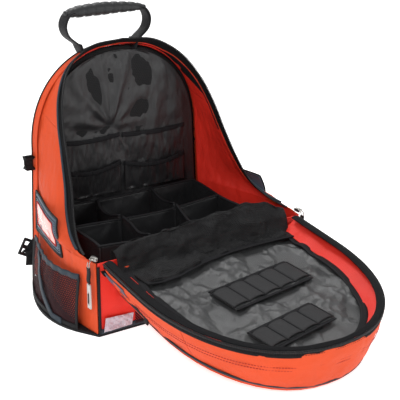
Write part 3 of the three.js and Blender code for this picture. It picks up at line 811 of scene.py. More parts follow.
def makeFacing():
    # Black facing inside the top of the rim. Its loose inner edge leaves slips of the red cloth in sight.
    def facing(u, v):
        a = 1 - (1 - 0.60) * np.abs(2 * u - 1)
        slip = 0.10 * smooth(0.6, 0.95, np.sin(u * 41 + 1)) * smooth(0.42, 0.55, u)
        slip = slip + 0.9 * smooth(0.80, 0.93, u)
        reach = gussetReach(a)
        start = np.clip(0.012 / reach + slip, 0, tapeStart(a) - 0.02)
        point = gusset(a, lerp(start, tapeStart(a) + 0.01, v))
        middle = np.array([0, 0.08, 0.22])
        point = point + unit(middle - point) * 0.0036
        point[..., 0] = np.where(u > 0.5, -point[..., 0], point[..., 0])
        return point

    grid = gridOf(facing, 200, 14)
    grid = wrinkled(grid, ("from", (0, 0.1, 0.1)), 0.0012, 0.04, 12, 0.12)
    made = closedSheet("rimFacing", grid, 0.0008, "tape", None, ("from", (0, 0.1, 0.1)))
    fitted(made, "pack", "lining")


def makeTeeth(name, path, ups, pitch=0.0026):
    # Coil zip: one low arch for each turn of the coil.
    centres = resampled(path, pitch)
    ups = resampled(ups, count=len(centres))
    tangents, across, over = framesAlong(centres, ups)
    ring = [(-0.0028, 0.0002), (-0.0022, 0.0015), (0.0022, 0.0015), (0.0028, 0.0002), (0.0022, -0.0011),
            (-0.0022, -0.0011)]
    verts, faces = [], []
    for i, centre in enumerate(centres):
        base = len(verts)
        for end, grow in ((-0.0009, 0.8), (0, 1.0), (0.0009, 0.8)):
            for x, z in ring:
                verts.append(centre + tangents[i] * end + (across[i] * x + over[i] * z) * grow)
        for j in range(2):
            for k in range(6):
                a, b = base + j * 6 + k, base + j * 6 + (k + 1) % 6
                faces.append([a, b, b + 6, a + 6])
        faces += [[base + k for k in range(5, -1, -1)], [base + 12 + k for k in range(6)]]
    made = newMesh(name, verts, faces, None, ("teeth",))
    recalculated(made)
    return made


linings = {"inset": 0.010, "lift": 0.0035, "columns": 170, "rows": 170,
           "rays": ((128, 0.012, 0.0085, 0.12), (98, 0.010, 0.0075, 0.13), (72, 0.010, 0.0085, 0.14),
                    (38, 0.014, 0.0055, 0.12),
                    (166, 0.012, 0.0060, 0.07), (5, 0.014, 0.0045, 0.12), (-55, 0.008, 0.0050, 0.05),
                    (-118, 0.008, 0.0050, 0.05))}


def makeBackLining():
    # Loose nylon lining on the inside of the back panel: its folds gather towards the upper left.
    def face(u, v):
        a = 0.06 + 0.94 * np.abs(v)
        edge = backOutline(a, linings["inset"])
        x = lerp(edge[..., 0], -edge[..., 0], u)
        return np.stack([x, np.full(x.shape, bag["liningY"] - linings["lift"]), edge[..., 2]], axis=-1)

    v = np.linspace(0, 1, linings["rows"] + 1) ** 0.8
    u = np.linspace(0, 1, linings["columns"] + 1)
    grid = face(u[:, None] + 0 * v[None, :], v[None, :] + 0 * u[:, None])
    grid[:, -1] = grid[:, -2] * 0.25 + grid[:, -1] * 0.75
    x, z = grid[..., 0], grid[..., 2]
    fade = edgeFade(grid.shape[:2], 0.08)
    knot = np.array([-0.024, 0.285])
    far = np.hypot(x - knot[0], z - knot[1])
    angle = np.arctan2(z - knot[1], x - knot[0])
    pull = 0 * far
    for turn, wide, tall, reach in linings["rays"]:
        off = (angle - math.radians(turn) + math.pi) % (2 * math.pi) - math.pi
        side = off * far / (wide * (0.35 + far / 0.14))
        pull = pull + tall * np.exp(-side ** 2) * np.exp(-far / reach) * smooth(0.0, 0.03, far)
    pull = pull - 0.006 * np.exp(-(((x + 0.060) / 0.030) ** 2 + ((z - 0.286) / 0.020) ** 2))
    folds = noiseField(grid, 0.11, 4, (1.0, 1, 0.55)) * 0.005
    fine = noiseField(grid, 0.03, 5, (1.0, 1, 0.6)) * 0.0016
    sharp = noiseField(grid, 0.06, 6, (1.2, 1, 0.7), "ridge") * 0.0022
    lift = (pull + folds + fine + sharp) * fade
    grid = grid + np.array([0, -1.0, 0]) * np.clip(lift + 0.002, -0.002, 0.013)[..., None]
    made = closedSheet("backLining", grid, 0.0009, "lining", None, ("along", (0, -1, 0)))
    sheetArea(grid)
    fitted(made, "pack", "lining")


def sheetArea(grid):
    a = grid[1:, :-1] - grid[:-1, :-1]
    b = grid[:-1, 1:] - grid[:-1, :-1]
    c = grid[1:, 1:] - grid[:-1, 1:]
    d = grid[1:, 1:] - grid[1:, :-1]
    doubled = np.linalg.norm(np.cross(a, b), axis=-1) + np.linalg.norm(np.cross(c, d), axis=-1)
    return float(doubled.sum() / 2)


pockets = {
    "upper": {"nodes": ("upper_pocket_left", "upper_pocket_right"), "sag": 0.004, "drop": 0.004,
              "gathers": 5},
    "lower": {"nodes": ("lower_pocket_left", "lower_pocket_right"), "sag": 0.012, "drop": 0.010,
              "gathers": 9},
}


def makeBackPockets():
    # Elastic-topped pockets: the cloth under the hem is gathered and stands off the lining.
    for look in pockets.values():
        for side, node in enumerate(look["nodes"]):
            low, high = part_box(node)
            spanX, spanZ = high.x - low.x, high.z - low.z

            def pocket(u, v, low=low, spanX=spanX, spanZ=spanZ, look=look, side=side):
                dip = np.sin(np.pi * u) * look["drop"]
                x = low.x + spanX * u
                z = low.z + spanZ * v - dip * v ** 2
                fold = np.sin(u * np.pi * look["gathers"] * 2 + 1.3 * side + 1.5 * v) * 0.5
                fold = fold + np.sin(u * np.pi * look["gathers"] * 3.3 + 2.0) * 0.3
                stand = np.sin(np.pi * np.clip(u, 0, 1)) ** 0.5 * (0.35 + 0.65 * v)
                y = (low.y + 0.0035 - look["sag"] * stand * 0.75
                     - fold * 0.0011 * (0.3 + 0.7 * v) * np.sin(np.pi * u) ** 0.4)
                return np.stack([x, y, z], axis=-1)

            grid = gridOf(pocket, 110, 60)
            rough = noiseField(grid, 0.035, 20 + side, (1.6, 1, 0.6)) * 0.0026 * edgeFade(grid.shape[:2], 0.1)
            grid = grid + np.array([0, -1.0, 0]) * rough[..., None]
            made = closedSheet("pocket_" + node, grid, 0.0009, "lining", None, ("along", (0, -1, 0)))
            min(sheetArea(grid), spanX * spanZ * 1.07)
            fitted(made, "pack", "lining", node)
            hem = tape("hem_" + node, grid[:, -1] + np.array([0, -0.0006, -0.003]), (0, -1, 0), 0.009, 0.0022,
                       "binding")
            fitted(hem, "pack", "webbing")


divider = {"thickness": 0.0048, "bind": 0.0042, "bow": 0.007, "skew": 0.07,
           "columns": (-0.172, -0.066, 0.058, 0.166), "rows": (0.128, 0.014, -0.108)}


def dividerWall(name, start, end, low, high, seed, bow, dip):
    # A padded cloth wall between two points on the floor, with a bound top edge that dips between its ends.
    start, end = np.array([*start, 0.0]), np.array([*end, 0.0])
    ahead = unit(end - start)
    across = np.array([-ahead[1], ahead[0], 0.0])

    def wall(u, v):
        point = lerp(start, end, u[..., None])
        top = high - dip * np.sin(np.pi * u) ** 1.2
        z = lerp(low, top, v)
        lean = bow * np.sin(np.pi * u) * (0.2 + 0.8 * v ** 1.5)
        wave = 0.0016 * np.sin(u * 9 + seed) * v
        return point + across * (lean + wave)[..., None] + np.array([0, 0, 1.0]) * z[..., None]

    length = float(np.linalg.norm(end - start))
    grid = gridOf(wall, max(24, int(length / 0.004)), 40)
    away = ("along", tuple(across))
    grid = wrinkled(grid, away, 0.0022, 0.05, seed, 0.1)
    panel = closedSheet(name, grid, divider["thickness"] - 0.0006, "divider", None, away)
    top = grid[:, -1] + np.array([0, 0, 0.0003])
    bind = sweep(name + "_binding", top, tuple(across), ovalSection(0.0046, divider["bind"] + 0.0024, 10),
                 "binding")
    return [panel, bind]


def makeDividers():
    low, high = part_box("divider_frame")
    floor, top = low.z, high.z - 0.0012
    cols, rows = divider["columns"], divider["rows"]

    def at(x, y):
        return (x + divider["skew"] * (y - rows[0]), y)

    back, middle, front = rows
    half = 0.0022
    walls = {
        "divider_frame": [
            dividerWall("insertBack", at(cols[0], back - half), at(cols[3], back - half), floor, top, 1,
                        0.002, 0.004),
            dividerWall("insertFront", at(cols[0], front + half), at(cols[3], front + half), floor, top, 2,
                        -0.003, 0.006),
            dividerWall("insertLeft", at(cols[0] + half, front), at(cols[0] + half, back), floor, top, 3,
                        -0.001, 0.003),
            dividerWall("insertRight", at(cols[3] - half, front), at(cols[3] - half, back), floor, top, 4,
                        0.002, 0.003),
        ],
        "divider_middle": [dividerWall("insertMiddle", at(cols[0] + 0.005, middle),
                                       at(cols[3] - 0.005, middle),
                                       floor, top - 0.002, 5, 0.006, 0.010)],
    }
    for i, side in ((1, "left"), (2, "right")):
        bow = divider["bow"] * (1 if i == 1 else -0.8)
        walls[f"divider_{side}_rear"] = [dividerWall(f"cell_{side}_rear", at(cols[i], middle + 0.004),
                                                     at(cols[i], back - 0.006), floor, top - 0.001, 6 + i,
                                                     bow, 0.012)]
        walls[f"divider_{side}_fore"] = [dividerWall(f"cell_{side}_fore", at(cols[i], front + 0.006),
                                                     at(cols[i], middle - 0.004), floor, top - 0.001, 9 + i,
                                                     -bow, 0.014)]
    for node, made in walls.items():
        pieces = [piece for pair in made for piece in pair]
        piece = joined("insert_" + node, pieces)
        fitted(piece, "pack", "divider_cloth", node)
    rimTop = closedSheet("insertFloor", gridOf(lambda u, v: np.stack([
        lerp(cols[0] + 0.004, cols[3] - 0.004, u) + divider["skew"] * (lerp(front, back, v) - back),
        lerp(front + 0.004, back - 0.004, v), floor + 0.004 + 0 * u], axis=-1), 20, 16), 0.004, "divider")
    fitted(rimTop, "pack", "divider_cloth")


pocket = {"front": -0.117, "back": 0.125, "reach": 0.032, "height": 0.106, "foot": 0.0062}


def sideX(y, z):
    # Where the left side wall's outer face is at a point in Y and Z.
    a = bag["sideShare"] * z / bag["archStart"]
    low, high = np.zeros_like(a), np.ones_like(a)
    for _ in range(22):
        middle = (low + high) / 2
        ahead = gusset(a, middle)[..., 1] > y
        low, high = np.where(ahead, middle, low), np.where(ahead, high, middle)
    return gusset(a, low)[..., 0] - 0.0015


def onSide(y, z, lift=0.0):
    y, z = np.broadcast_arrays(np.asarray(y, dtype=float), np.asarray(z, dtype=float))
    return np.stack([sideX(y, z) - 0.0035 - lift, y, z], axis=-1)


def hemHeight(u):
    return lerp(pocket["height"] - 0.010, pocket["height"], u) - 0.003 * np.sin(np.pi * u)


def pouchReach(u, v):
    rounded = np.sin(np.pi * lerp(0.06, 0.94, u)) ** 0.6
    return pocket["reach"] * rounded * (1 - 0.5 * v ** 2.2)


def pouchSurface(u, v):
    y = lerp(pocket["back"], pocket["front"], u)
    z = lerp(pocket["foot"], hemHeight(u) - 0.004, v)
    point = onSide(y, z, 0.0)
    reach = pouchReach(u, v)
    gather = np.sin(u * np.pi * 15 + 1.2) * 0.0012 * v ** 2
    point[..., 0] -= reach * (0.93 + 0.05 * np.sin(7 * u + 4 * v)) + gather
    return point


def eachSide(makeOne):
    for name, sign in (("left", 1), ("right", -1)):
        makeOne(name, sign)


def turned(points, sign):
    return points if sign == 1 else mirror(points)


def makeSidePocket(name, sign):
    away = ("along", (-sign, 0, 0))
    grid = gridOf(pouchSurface, 120, 60)
    rough = noiseField(grid, 0.05, 31, (1, 1, 1)) * 0.004 + noiseField(grid, 0.02, 32) * 0.0012
    grid[..., 0] += np.abs(rough) * edgeFade(grid.shape[:2], 0.1)
    cloth = closedSheet("meshPocket_" + name, turned(grid, sign), 0.0009, "pocketMesh", None, away)
    fitted(cloth, "pack", "pocket_mesh", "mesh_pocket_" + name)
    hemLine = grid[:, -1] + np.array([-0.0006, 0, 0.001])
    hem = tape("pocketHem_" + name, turned(hemLine, sign), (-sign, 0, 0), 0.011, 0.0034, "greyBinding")
    fitted(hem, "pack", "webbing", "pocket_hem_" + name)
    footLine = grid[:, 0] + np.array([-0.0008, 0, 0.0035])
    foot = tape("pocketFootBinding_" + name, turned(footLine, sign), (-sign, 0, 0), 0.009, 0.003, "binding")
    fitted(foot, "pack", "webbing")
    ends = []
    for column in (0, -1):
        ends.append(tape("pocketEnd", turned(grid[column][::2] + np.array([-0.001, 0, 0]), sign),
                         (-sign, 0, 0), 0.008, 0.0026, "binding"))
    fitted(joined("pocketEnds_" + name, ends), "pack", "webbing")


strapLook = {"points": ((0.078, 0.098), (0.045, 0.078), (0.009, 0.049), (-0.040, 0.018), (-0.082, -0.013))}


def makeSideTrim(name, sign):
    # Compression strap over the mesh, the framed window, and the tab at the back seam.
    u = lambda y: (pocket["back"] - y) / (pocket["back"] - pocket["front"])
    line = []
    for y, z in curved([(y, z, 0) for y, z in strapLook["points"]], 50)[:, :2]:
        z = max(z, 0.010)
        share = np.clip(u(y), 0, 1)
        v = np.clip((z - pocket["foot"]) / (hemHeight(share) - 0.004 - pocket["foot"]), 0, 1)
        line.append(pouchSurface(np.array(share), np.array(v)) + np.array([-0.0022, 0, 0]))
    strap = tape("pocketStrap_" + name, turned(np.array(line), sign), (-sign, 0, 0), 0.013, 0.0022,
                 "greyBinding")
    fitted(strap, "pack", "webbing")

    low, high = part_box("window_trim_" + name)
    back, front = high.y, low.y

    def trimZ(u, v):
        return lerp(lerp(0.106, 0.116, u), lerp(0.184, 0.180, u), v)

    def panel(inset, lift):
        def surface(u, v):
            uu, vv = lerp(inset, 1 - inset, u), lerp(inset * 1.9, 1 - inset * 1.7, v)
            y, z = lerp(back, lerp(front, front + 0.022, vv), uu), trimZ(uu, vv)
            bulge = 0.0035 * (np.sin(np.pi * u) * np.sin(np.pi * v)) ** 0.5
            return onSide(y, z, lift + bulge - 0.0015)
        return surface

    away = ("along", (-sign, 0, 0))
    grid = gridOf(panel(0.0, 0.002), 60, 30)
    grid = wrinkled(grid, ("along", (-1, 0, 0)), 0.0014, 0.04, 41, 0.15)
    frameCloth = closedSheet("windowTrim_" + name, turned(grid, sign), 0.0018, "reflect", None, away)
    fitted(frameCloth, "pack", "trim", "window_trim_" + name)
    pane = gridOf(panel(0.11, 0.0045), 60, 30)
    pane = wrinkled(pane, ("along", (-1, 0, 0)), 0.0016, 0.035, 42, 0.15)
    vinyl = closedSheet("idWindow_" + name, turned(pane, sign), 0.0012, "window", None, away)
    fitted(vinyl, "pack", "window", "id_window_" + name)
    loop = np.concatenate([pane[:, 0], pane[-1, 1:], pane[::-1, -1][1:], pane[0, ::-1][1:]])
    loop = resampled(loop, 0.004) + np.array([-0.0012, 0, 0])
    edge = sweep("windowEdge_" + name, turned(loop, sign), (-sign, 0, 0), ovalSection(0.003, 0.0022, 8),
                 "stitch")
    fitted(edge, "pack", "trim")
    outer = np.concatenate([grid[:, 0], grid[-1, 1:], grid[::-1, -1][1:], grid[0, ::-1][1:]])
    inner = grid[3:-3, 3:-3]
    inner = np.concatenate([inner[:, 0], inner[-1, 1:], inner[::-1, -1][1:], inner[0, ::-1][1:]])
    rows = [stitchRow("trimStitch", turned(inner + np.array([-0.0011, 0, 0]), sign), (-sign, 0, 0),
                      material="blackStitch")]
    border = tape("windowBorder_" + name, turned(resampled(outer, 0.004) + np.array([-0.001, 0, 0]), sign),
                  (-sign, 0, 0), 0.006, 0.0024, "binding")
    fitted(joined("windowBorders_" + name, [border] + rows), "pack", "trim")

    low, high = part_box("side_tab_" + name)
    middle = (low + high) / 2
    reach = (high.x - low.x) / 2
    path = [(middle.x - sign * reach * 1.2, middle.y + 0.0026, middle.z),
            (middle.x + sign * reach * 0.7, middle.y + 0.0026, middle.z),
            (middle.x + sign * reach * 1.0, middle.y, middle.z),
            (middle.x + sign * reach * 0.7, middle.y - 0.0026, middle.z),
            (middle.x - sign * reach * 1.2, middle.y - 0.0026, middle.z)]
    tab = tape("sideTab_" + name, curved(path, 40), (0, 0, 1), 0.0022, high.z - low.z, "webbing")
    fitted(tab, "pack", "webbing", "side_tab_" + name)


handle = {"web": 0.0026, "ribs": 9}


def makeHandle():
    # Webbing legs bow out from the top seam and run into a ribbed rubber grip.
    for side in ("left", "right"):
        low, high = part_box("handle_leg_" + side)
        out = -1 if side == "left" else 1
        inner = high.x if side == "left" else low.x
        outer = low.x if side == "left" else high.x
        tall = high.z - low.z
        reach = outer - inner
        y = (low.y + high.y) / 2
        legs = [(inner + reach * s, y, low.z + tall * h) for s, h in
                ((0.04, 0.0), (0.30, 0.14), (0.74, 0.40), (0.92, 0.66), (0.93, 0.90), (0.80, 1.12),
                 (0.60, 1.26), (0.36, 1.30))]
        path = curved(legs, 70)
        leg = sweep("handleLeg_" + side, path, (0, 1, 0),
                    [(x, deep) for deep, x in strapSection(high.y - low.y, handle["web"])],
                    "webbing")
        second = path + np.array([-out * 0.0032, 0, 0]) * np.linspace(0.2, 1, 70)[:, None]
        backWeb = sweep("handleLegBack_" + side, second[:58], (0, 1, 0),
                        [(x, deep) for deep, x in strapSection((high.y - low.y) * 0.9, handle["web"])],
                        "webbing")
        fitted(joined("handleWeb_" + side, [leg, backWeb]), "handle", "webbing", "handle_leg_" + side)
    low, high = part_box("handle_grip")
    radius = (high.y - low.y) / 2
    y = (low.y + high.y) / 2
    count = 140
    share = np.linspace(0, 1, count)
    crown = high.z - low.z - 2 * radius
    x = lerp(low.x, high.x, share)
    z = low.z + radius + crown * (1 - (2 * share - 1) ** 2) * 0.8
    path = np.stack([x, np.full(count, y), z], axis=-1)
    sides = 28
    ring = ovalSection(1, 1, sides)
    wave = 0.5 + 0.5 * np.cos(share * 2 * math.pi * handle["ribs"])
    valley = smooth(0.55, 0.9, wave) * smooth(0.04, 0.12, np.minimum(share, 1 - share))
    grow = np.sqrt(np.clip(1 - (np.abs(2 * share - 1)) ** 10, 0.35, 1))
    wide = (0.0250 - 0.0012 * valley) * grow
    tall = (np.interp(share, (0, 0.15, 0.45, 0.8, 1),
                      (0.018, 0.023, 0.026, 0.020, 0.014)) - 0.0022 * valley) * grow
    _, across, over = framesAlong(path, (0, 0, 1))
    grid = path[:, None] + across[:, None] * (ring[None, :, :1] * wide[:, None, None]) \
        + over[:, None] * (ring[None, :, 1:] * tall[:, None, None])
    index = np.arange(count * sides).reshape(count, sides)
    a, b = index[:-1], np.roll(index[:-1], -1, axis=1)
    c, d = np.roll(index[1:], -1, axis=1), index[1:]
    faces = np.stack([a, b, c, d], axis=-1).reshape(-1, 4).tolist() + [index[0][::-1].tolist(),
                                                                       index[-1].tolist()]
    grip = newMesh("handleGrip", grid.reshape(-1, 3), faces, None, ("rubber",))
    recalculated(grip)
    fitted(grip, "handle", "grip", "handle_grip")
    feet = []
    for side in ("left", "right"):
        low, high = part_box("handle_leg_" + side)
        inner = high.x if side == "left" else low.x
        out = -1 if side == "left" else 1
        path = [(inner - out * 0.004, (low.y + high.y) / 2, low.z - 0.014),
                (inner + out * 0.001, (low.y + high.y) / 2, low.z - 0.004),
                (inner + out * 0.004, (low.y + high.y) / 2, low.z + 0.004)]
        feet.append(sweep("handleFoot_" + side, curved(path, 12), (0, 1, 0),
                          [(x, deep) for deep, x in strapSection(high.y - low.y + 0.003, 0.0052)], "webbing"))
    fitted(joined("handleFeet", feet), "pack", "webbing")


def makeFront():
    # Lower front wall under the hinge, its small crinkled patch and the bound foot.
    low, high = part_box("front_panel")

    def wall(u, v):
        x = lerp(low.x, high.x, u)
        z = lerp(low.z, high.z, v)
        y = low.y + 0.0016 + 0.002 * np.sin(np.pi * u) * np.sin(np.pi * v)
        return np.stack([x, y + 0 * x, z], axis=-1)

    grid = gridOf(wall, 150, 50)
    grid = wrinkled(grid, ("along", (0, -1, 0)), 0.003, 0.06, 51, 0.1)
    grid = wrinkled(grid, ("along", (0, -1, 0)), 0.0014, 0.022, 52, 0.1)
    made = closedSheet("frontWall", grid, 0.0022, "inner", "inner", ("along", (0, -1, 0)))
    fitted(made, "pack", "inner_cloth", "front_panel")
    foot = [(x, low.y - 0.0004, low.z + 0.004) for x in np.linspace(low.x, high.x, 60)]
    binding = tape("frontFootBinding", foot, (0, -1, 0), 0.009, 0.003, "greyBinding")
    corner = []
    for sign in (-1, 1):
        line = [(sign * (high.x - 0.001), low.y + 0.0005, z) for z in np.linspace(low.z, high.z - 0.006, 50)]
        corner.append(cordLine("frontCorner", line, 0.0026, "binding", (0, 1, 0)))
    fitted(joined("frontBindings", [binding] + corner), "pack", "webbing")

    low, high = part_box("front_patch")
    patch = gridOf(lambda u, v: np.stack([lerp(low.x, high.x, u) + 0.004 * (v - 0.5), low.y - 0.0022 + 0 * u,
                                          lerp(low.z + 0.004, high.z, v) - 0.004 * u * (v - 0.3)], axis=-1),
                                          70, 44)
    patch = wrinkled(patch, ("along", (0, -1, 0)), 0.0042, 0.014, 53, 0.06, kind="fractal")
    made = closedSheet("frontPatch", patch, 0.0008, "patch", None, ("along", (0, -1, 0)))
    fitted(made, "pack", "patch", "front_patch")

    # Dark mesh pocket on the front wall beside the patch.
    low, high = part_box("front_panel")

    def meshFace(u, v):
        x = lerp(-0.150, 0.190, u)
        z = lerp(low.z + 0.004, 0.092 - 0.03 * (1 - u) ** 4, v)
        y = low.y - 0.0028 - 0.004 * np.sin(np.pi * u) * np.sin(np.pi * v)
        return np.stack([x, y + 0 * x, z], axis=-1)

    grid = wrinkled(gridOf(meshFace, 110, 40), ("along", (0, -1, 0)), 0.003, 0.05, 54, 0.1)
    made = closedSheet("frontMeshPocket", grid, 0.0009, "pocketMesh", None, ("along", (0, -1, 0)))
    fitted(made, "pack", "pocket_mesh")
    hem = tape("frontMeshHem", grid[:, -1] + np.array([0, -0.0006, 0]), (0, -1, 0), 0.010, 0.0026, "binding")
    fitted(hem, "pack", "webbing")


hump = ((0.0, 0.152), (0.08, 0.160), (0.17, 0.165), (0.33, 0.166), (0.45, 0.172), (0.58, 0.180),
        (0.66, 0.178),
        (0.78, 0.183), (0.88, 0.177), (0.95, 0.164), (1.0, 0.158))


def makeMeshHump():
    # Loose mesh lining: stands in soft folds over the front wall, then runs over the hinge into the lid's
    # mesh pocket.
    low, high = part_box("front_mesh_lining")
    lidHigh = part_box("lid_mesh_pocket")[1]
    share = np.array([h[0] for h in hump])
    rise = np.array([h[1] for h in hump])

    def crest(u):
        return np.interp(u, share, rise)

    def inner(u, v):
        x = lerp(low.x, high.x, u)
        top = crest(u) - 0.002 * np.sin(u * 40)
        z = lerp(0.128, top, v)
        y = high.y + 0.002 + 0.010 * np.sin(u * 17 + 1) * v * 0.4 - 0.006 * v ** 3
        return np.stack([x, y, z], axis=-1)

    grid = gridOf(inner, 170, 44)
    grid = wrinkled(grid, ("along", (0, 1, 0)), 0.010, 0.05, 61, 0.06, (1, 1, 0.6))
    made = closedSheet("meshLiningInner", grid, 0.0010, "blackMesh", None, ("along", (0, 1, 0)))
    sheetArea(grid)
    fitted(made, "pack", "lining_mesh", "front_mesh_lining")
    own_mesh(made)

    def over(u, v):
        x = lerp(low.x, high.x, u)
        top = crest(u)
        steps = np.array([0, 0.3, 0.55, 0.8, 1.0])
        ys = [high.y - 0.006, low.y - 0.004, low.y - 0.012, lidHigh.y - 0.002, lidHigh.y - 0.010]
        zs = [top, lerp(top, 0.142, 0.35), lerp(top, 0.135, 0.72), 0 * top + 0.124,
              0 * top + lidHigh.z + 0.001]
        y = np.interp(v, steps, ys)
        z = zs[0]
        for k in range(4):
            z = z + (zs[k + 1] - zs[k]) * np.clip((v - steps[k]) / (steps[k + 1] - steps[k]), 0, 1)
        fold = np.sin(u * 26 + 3 * v) * 0.0035 * np.sin(np.pi * v)
        return np.stack([x, y, z + fold], axis=-1)

    grid = gridOf(over, 170, 60)
    grid = wrinkled(grid, ("along", (0, -0.5, 1)), 0.010, 0.045, 62, 0.06, (1, 1, 1))
    made = closedSheet("meshLiningOver", grid, 0.0010, "blackMesh", None, ("along", (0, -0.5, 1)))
    sheetArea(grid)
    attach(made, "pack")
    return made


hingeY = bag["frontY"] - 0.002
lidLow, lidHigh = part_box("lid_zip_tape")
lid = {"archStart": 0.3, "archPower": 2 / 2.2, "flare": 0.040, "endFlare": 0.022, "depth": 0.072,
       "floorGap": 0.001,
       "panelWall": 0.004, "length": hingeY - lidLow.y - 0.001, "half": lidHigh.x - 0.001,
       "hingeHeight": 0.138,
       "endRise": 0.084, "liningDrop": 0.027, "tape": 0.015, "apron": 0.036, "bow": 1.3, "split": 0.62}


def rimRise(s):
    return lerp(lid["hingeHeight"], lid["endRise"], s)


def faceRise(s):
    end = (lid["length"] - lid["endFlare"]) / lid["length"]
    return lerp(lid["hingeHeight"] - lid["depth"], lid["floorGap"] + lid["panelWall"], s / end)


def lidOutline(u, inset=0.0):
    u = np.asarray(u, dtype=float)
    half, length = lid["half"] - inset, lid["length"] - inset * lid["endFlare"] / lid["flare"]
    straight = 2 * u * lid["archStart"] * lid["length"]
    angle = np.clip((u - 0.5) * math.pi, 0, math.pi / 2)
    across = np.where(angle > 1.5707, 0, np.maximum(np.cos(angle), 0) ** lid["archPower"])
    along = np.maximum(np.sin(angle), 0) ** lid["archPower"]
    start = lid["archStart"] * lid["length"]
    x = np.where(u < 0.5, -half, -half * across)
    y = np.where(u < 0.5, straight, start + (length - start) * along)
    return x, y


def lidWall(u, v, lift=0.0):
    x, y = lidOutline(u, lid["flare"] * np.asarray(v) ** lid["bow"] - lift)
    s = y / lid["length"]
    return np.stack([x, hingeY - y, lerp(rimRise(s), faceRise(s) + 0.0015, v)], axis=-1)


lidMiddle = ("from", (0, hingeY - 0.2, 0.15))


def makeLidWalls():
    spans = (("lidSide_left", 0.006, lid["split"], 1, "lid_side_left"),
             ("lidSide_right", 0.006, lid["split"], -1, "lid_side_right"))
    for name, u0, u1, sign, node in spans:
        grid = gridOf(lambda u, v, u0=u0, u1=u1: lidWall(lerp(u0, u1, u), v), 110, 30)
        away = ("along", (-1, 0, 0))
        grid = pushed(grid, away, edgeFade(grid.shape[:2], 0.3) * 0.004)
        grid = wrinkled(grid, away, 0.003, 0.07, 71 + sign, 0.08, (1, 1, 1.6))
        grid = wrinkled(grid, away, 0.0012, 0.025, 75 + sign, 0.08, (1, 1, 1.6))
        grid = turned(grid, sign)
        made = closedSheet(name, grid, 0.0024, "shell", "inner", ("along", (-sign, 0, 0)))
        fitted(made, "lid", "shell_cloth", node)
    grid = gridOf(overTop(lidWall, lid["split"] + 0.0016), 220, 30)
    grid = pushed(grid, lidMiddle, edgeFade(grid.shape[:2], 0.3) * 0.003)
    grid = wrinkled(grid, lidMiddle, 0.0026, 0.08, 77, 0.08)
    grid = wrinkled(grid, lidMiddle, 0.0010, 0.022, 78, 0.08)
    made = closedSheet("lidEnd", grid, 0.0024, "shell", "inner", lidMiddle)
    fitted(made, "lid", "shell_cloth", "lid_end_wall")


def lidLoop(v, lift, foot=0.01, count=240, rise=0.0):
    # A line round the lid's wall at a share v of its depth, with the wall's outward normals.
    a = np.linspace(foot, 1, count // 2)
    grid = lidWall(a[:, None], np.array([[max(v - 0.03, 0), v, v + 0.03]]), lift)
    grid[..., 2] += rise
    out = outward(grid, ("from", (0, hingeY - 0.15, 0.12)))[:, 1]
    left = grid[:, 1]
    return np.concatenate([left, mirror(left[::-1][1:])]), np.concatenate([out, mirror(out[::-1][1:])])


def makeLidRim():
    def band(a, v):
        x, y = lidOutline(a, lerp(-0.001, lid["tape"], v))
        z = rimRise(y / lid["length"]) + 0.0026 + 0.0022 * np.sin(np.pi * v)
        return np.stack([x, hingeY - y, z], axis=-1)

    grid = gridOf(overTop(band, 0.026), 260, 10)
    grid = wrinkled(grid, ("along", (0, 0, 1)), 0.0016, 0.05, 81, 0.1)
    made = closedSheet("lidZipTape", grid, 0.0016, "tape", "tape", ("along", (0, 0, 1)))
    fitted(made, "lid", "zip_tape", "lid_zip_tape")
    path, ups = lidLoop(0.0, 0.0022, 0.03, rise=0.0005)
    fitted(makeTeeth("lidZipTeeth", path, ups), "lid", "zip_tape")
    # The tape's outer fold hangs over the wall, and two rows of red thread hold it.
    def fold(a, v):
        point = lidWall(a, v * 0.14, 0.0024)
        return point + np.array([0, 0, 0.001])
    grid = gridOf(overTop(fold, 0.02), 260, 5)
    made = closedSheet("lidTapeFold", grid, 0.0014, "tape", None, lidMiddle)
    fitted(made, "lid", "zip_tape")
    rows = []
    for v in (0.36, 0.44):
        path, ups = lidLoop(v, 0.0052, 0.08)
        rows.append(stitchRow("lidStitch", path, ups, 0.0048, 0.0034, 0.0012, material="stitch", lift=0.0006))
    fitted(joined("lidStitches", rows), "lid", "shell_cloth")
    path, ups = lidLoop(0.93, 0.0030, 0.02)
    seam = sweep("lidFootPiping", path, ups, ovalSection(0.005, 0.004, 8), "greyBinding")
    fitted(seam, "lid", "trim")
    rows = []
    path, ups = lidLoop(0.07, 0.0034, 0.03)
    rows.append(stitchRow("tapeStitch", path, ups, 0.0045, 0.003, 0.001, material="blackStitch"))
    fitted(joined("lidTapeStitches", rows), "lid", "zip_tape")


def liningTop(distance):
    return lerp(lid["hingeHeight"], lid["endRise"], distance / lid["length"]) - lid["liningDrop"]


def lidDisc(inset, columns, rows, start):
    # Points filling the lid's outline: u runs across, v from the hinge to the far end.
    v = np.linspace(0, 1, rows + 1)
    length = lid["length"] - inset
    y = start + (length - start) * np.sin(v * math.pi / 2)
    s = np.linspace(0, 1, 400)
    edgeX, edgeY = lidOutline(s, inset)
    half = np.interp(y, edgeY, -edgeX)
    u = np.linspace(-1, 1, columns + 1)[:, None]
    x = u * np.maximum(half, 0.004)[None, :]
    return np.stack([x, hingeY - np.broadcast_to(y, x.shape), np.broadcast_to(liningTop(y), x.shape)],
                    axis=-1)


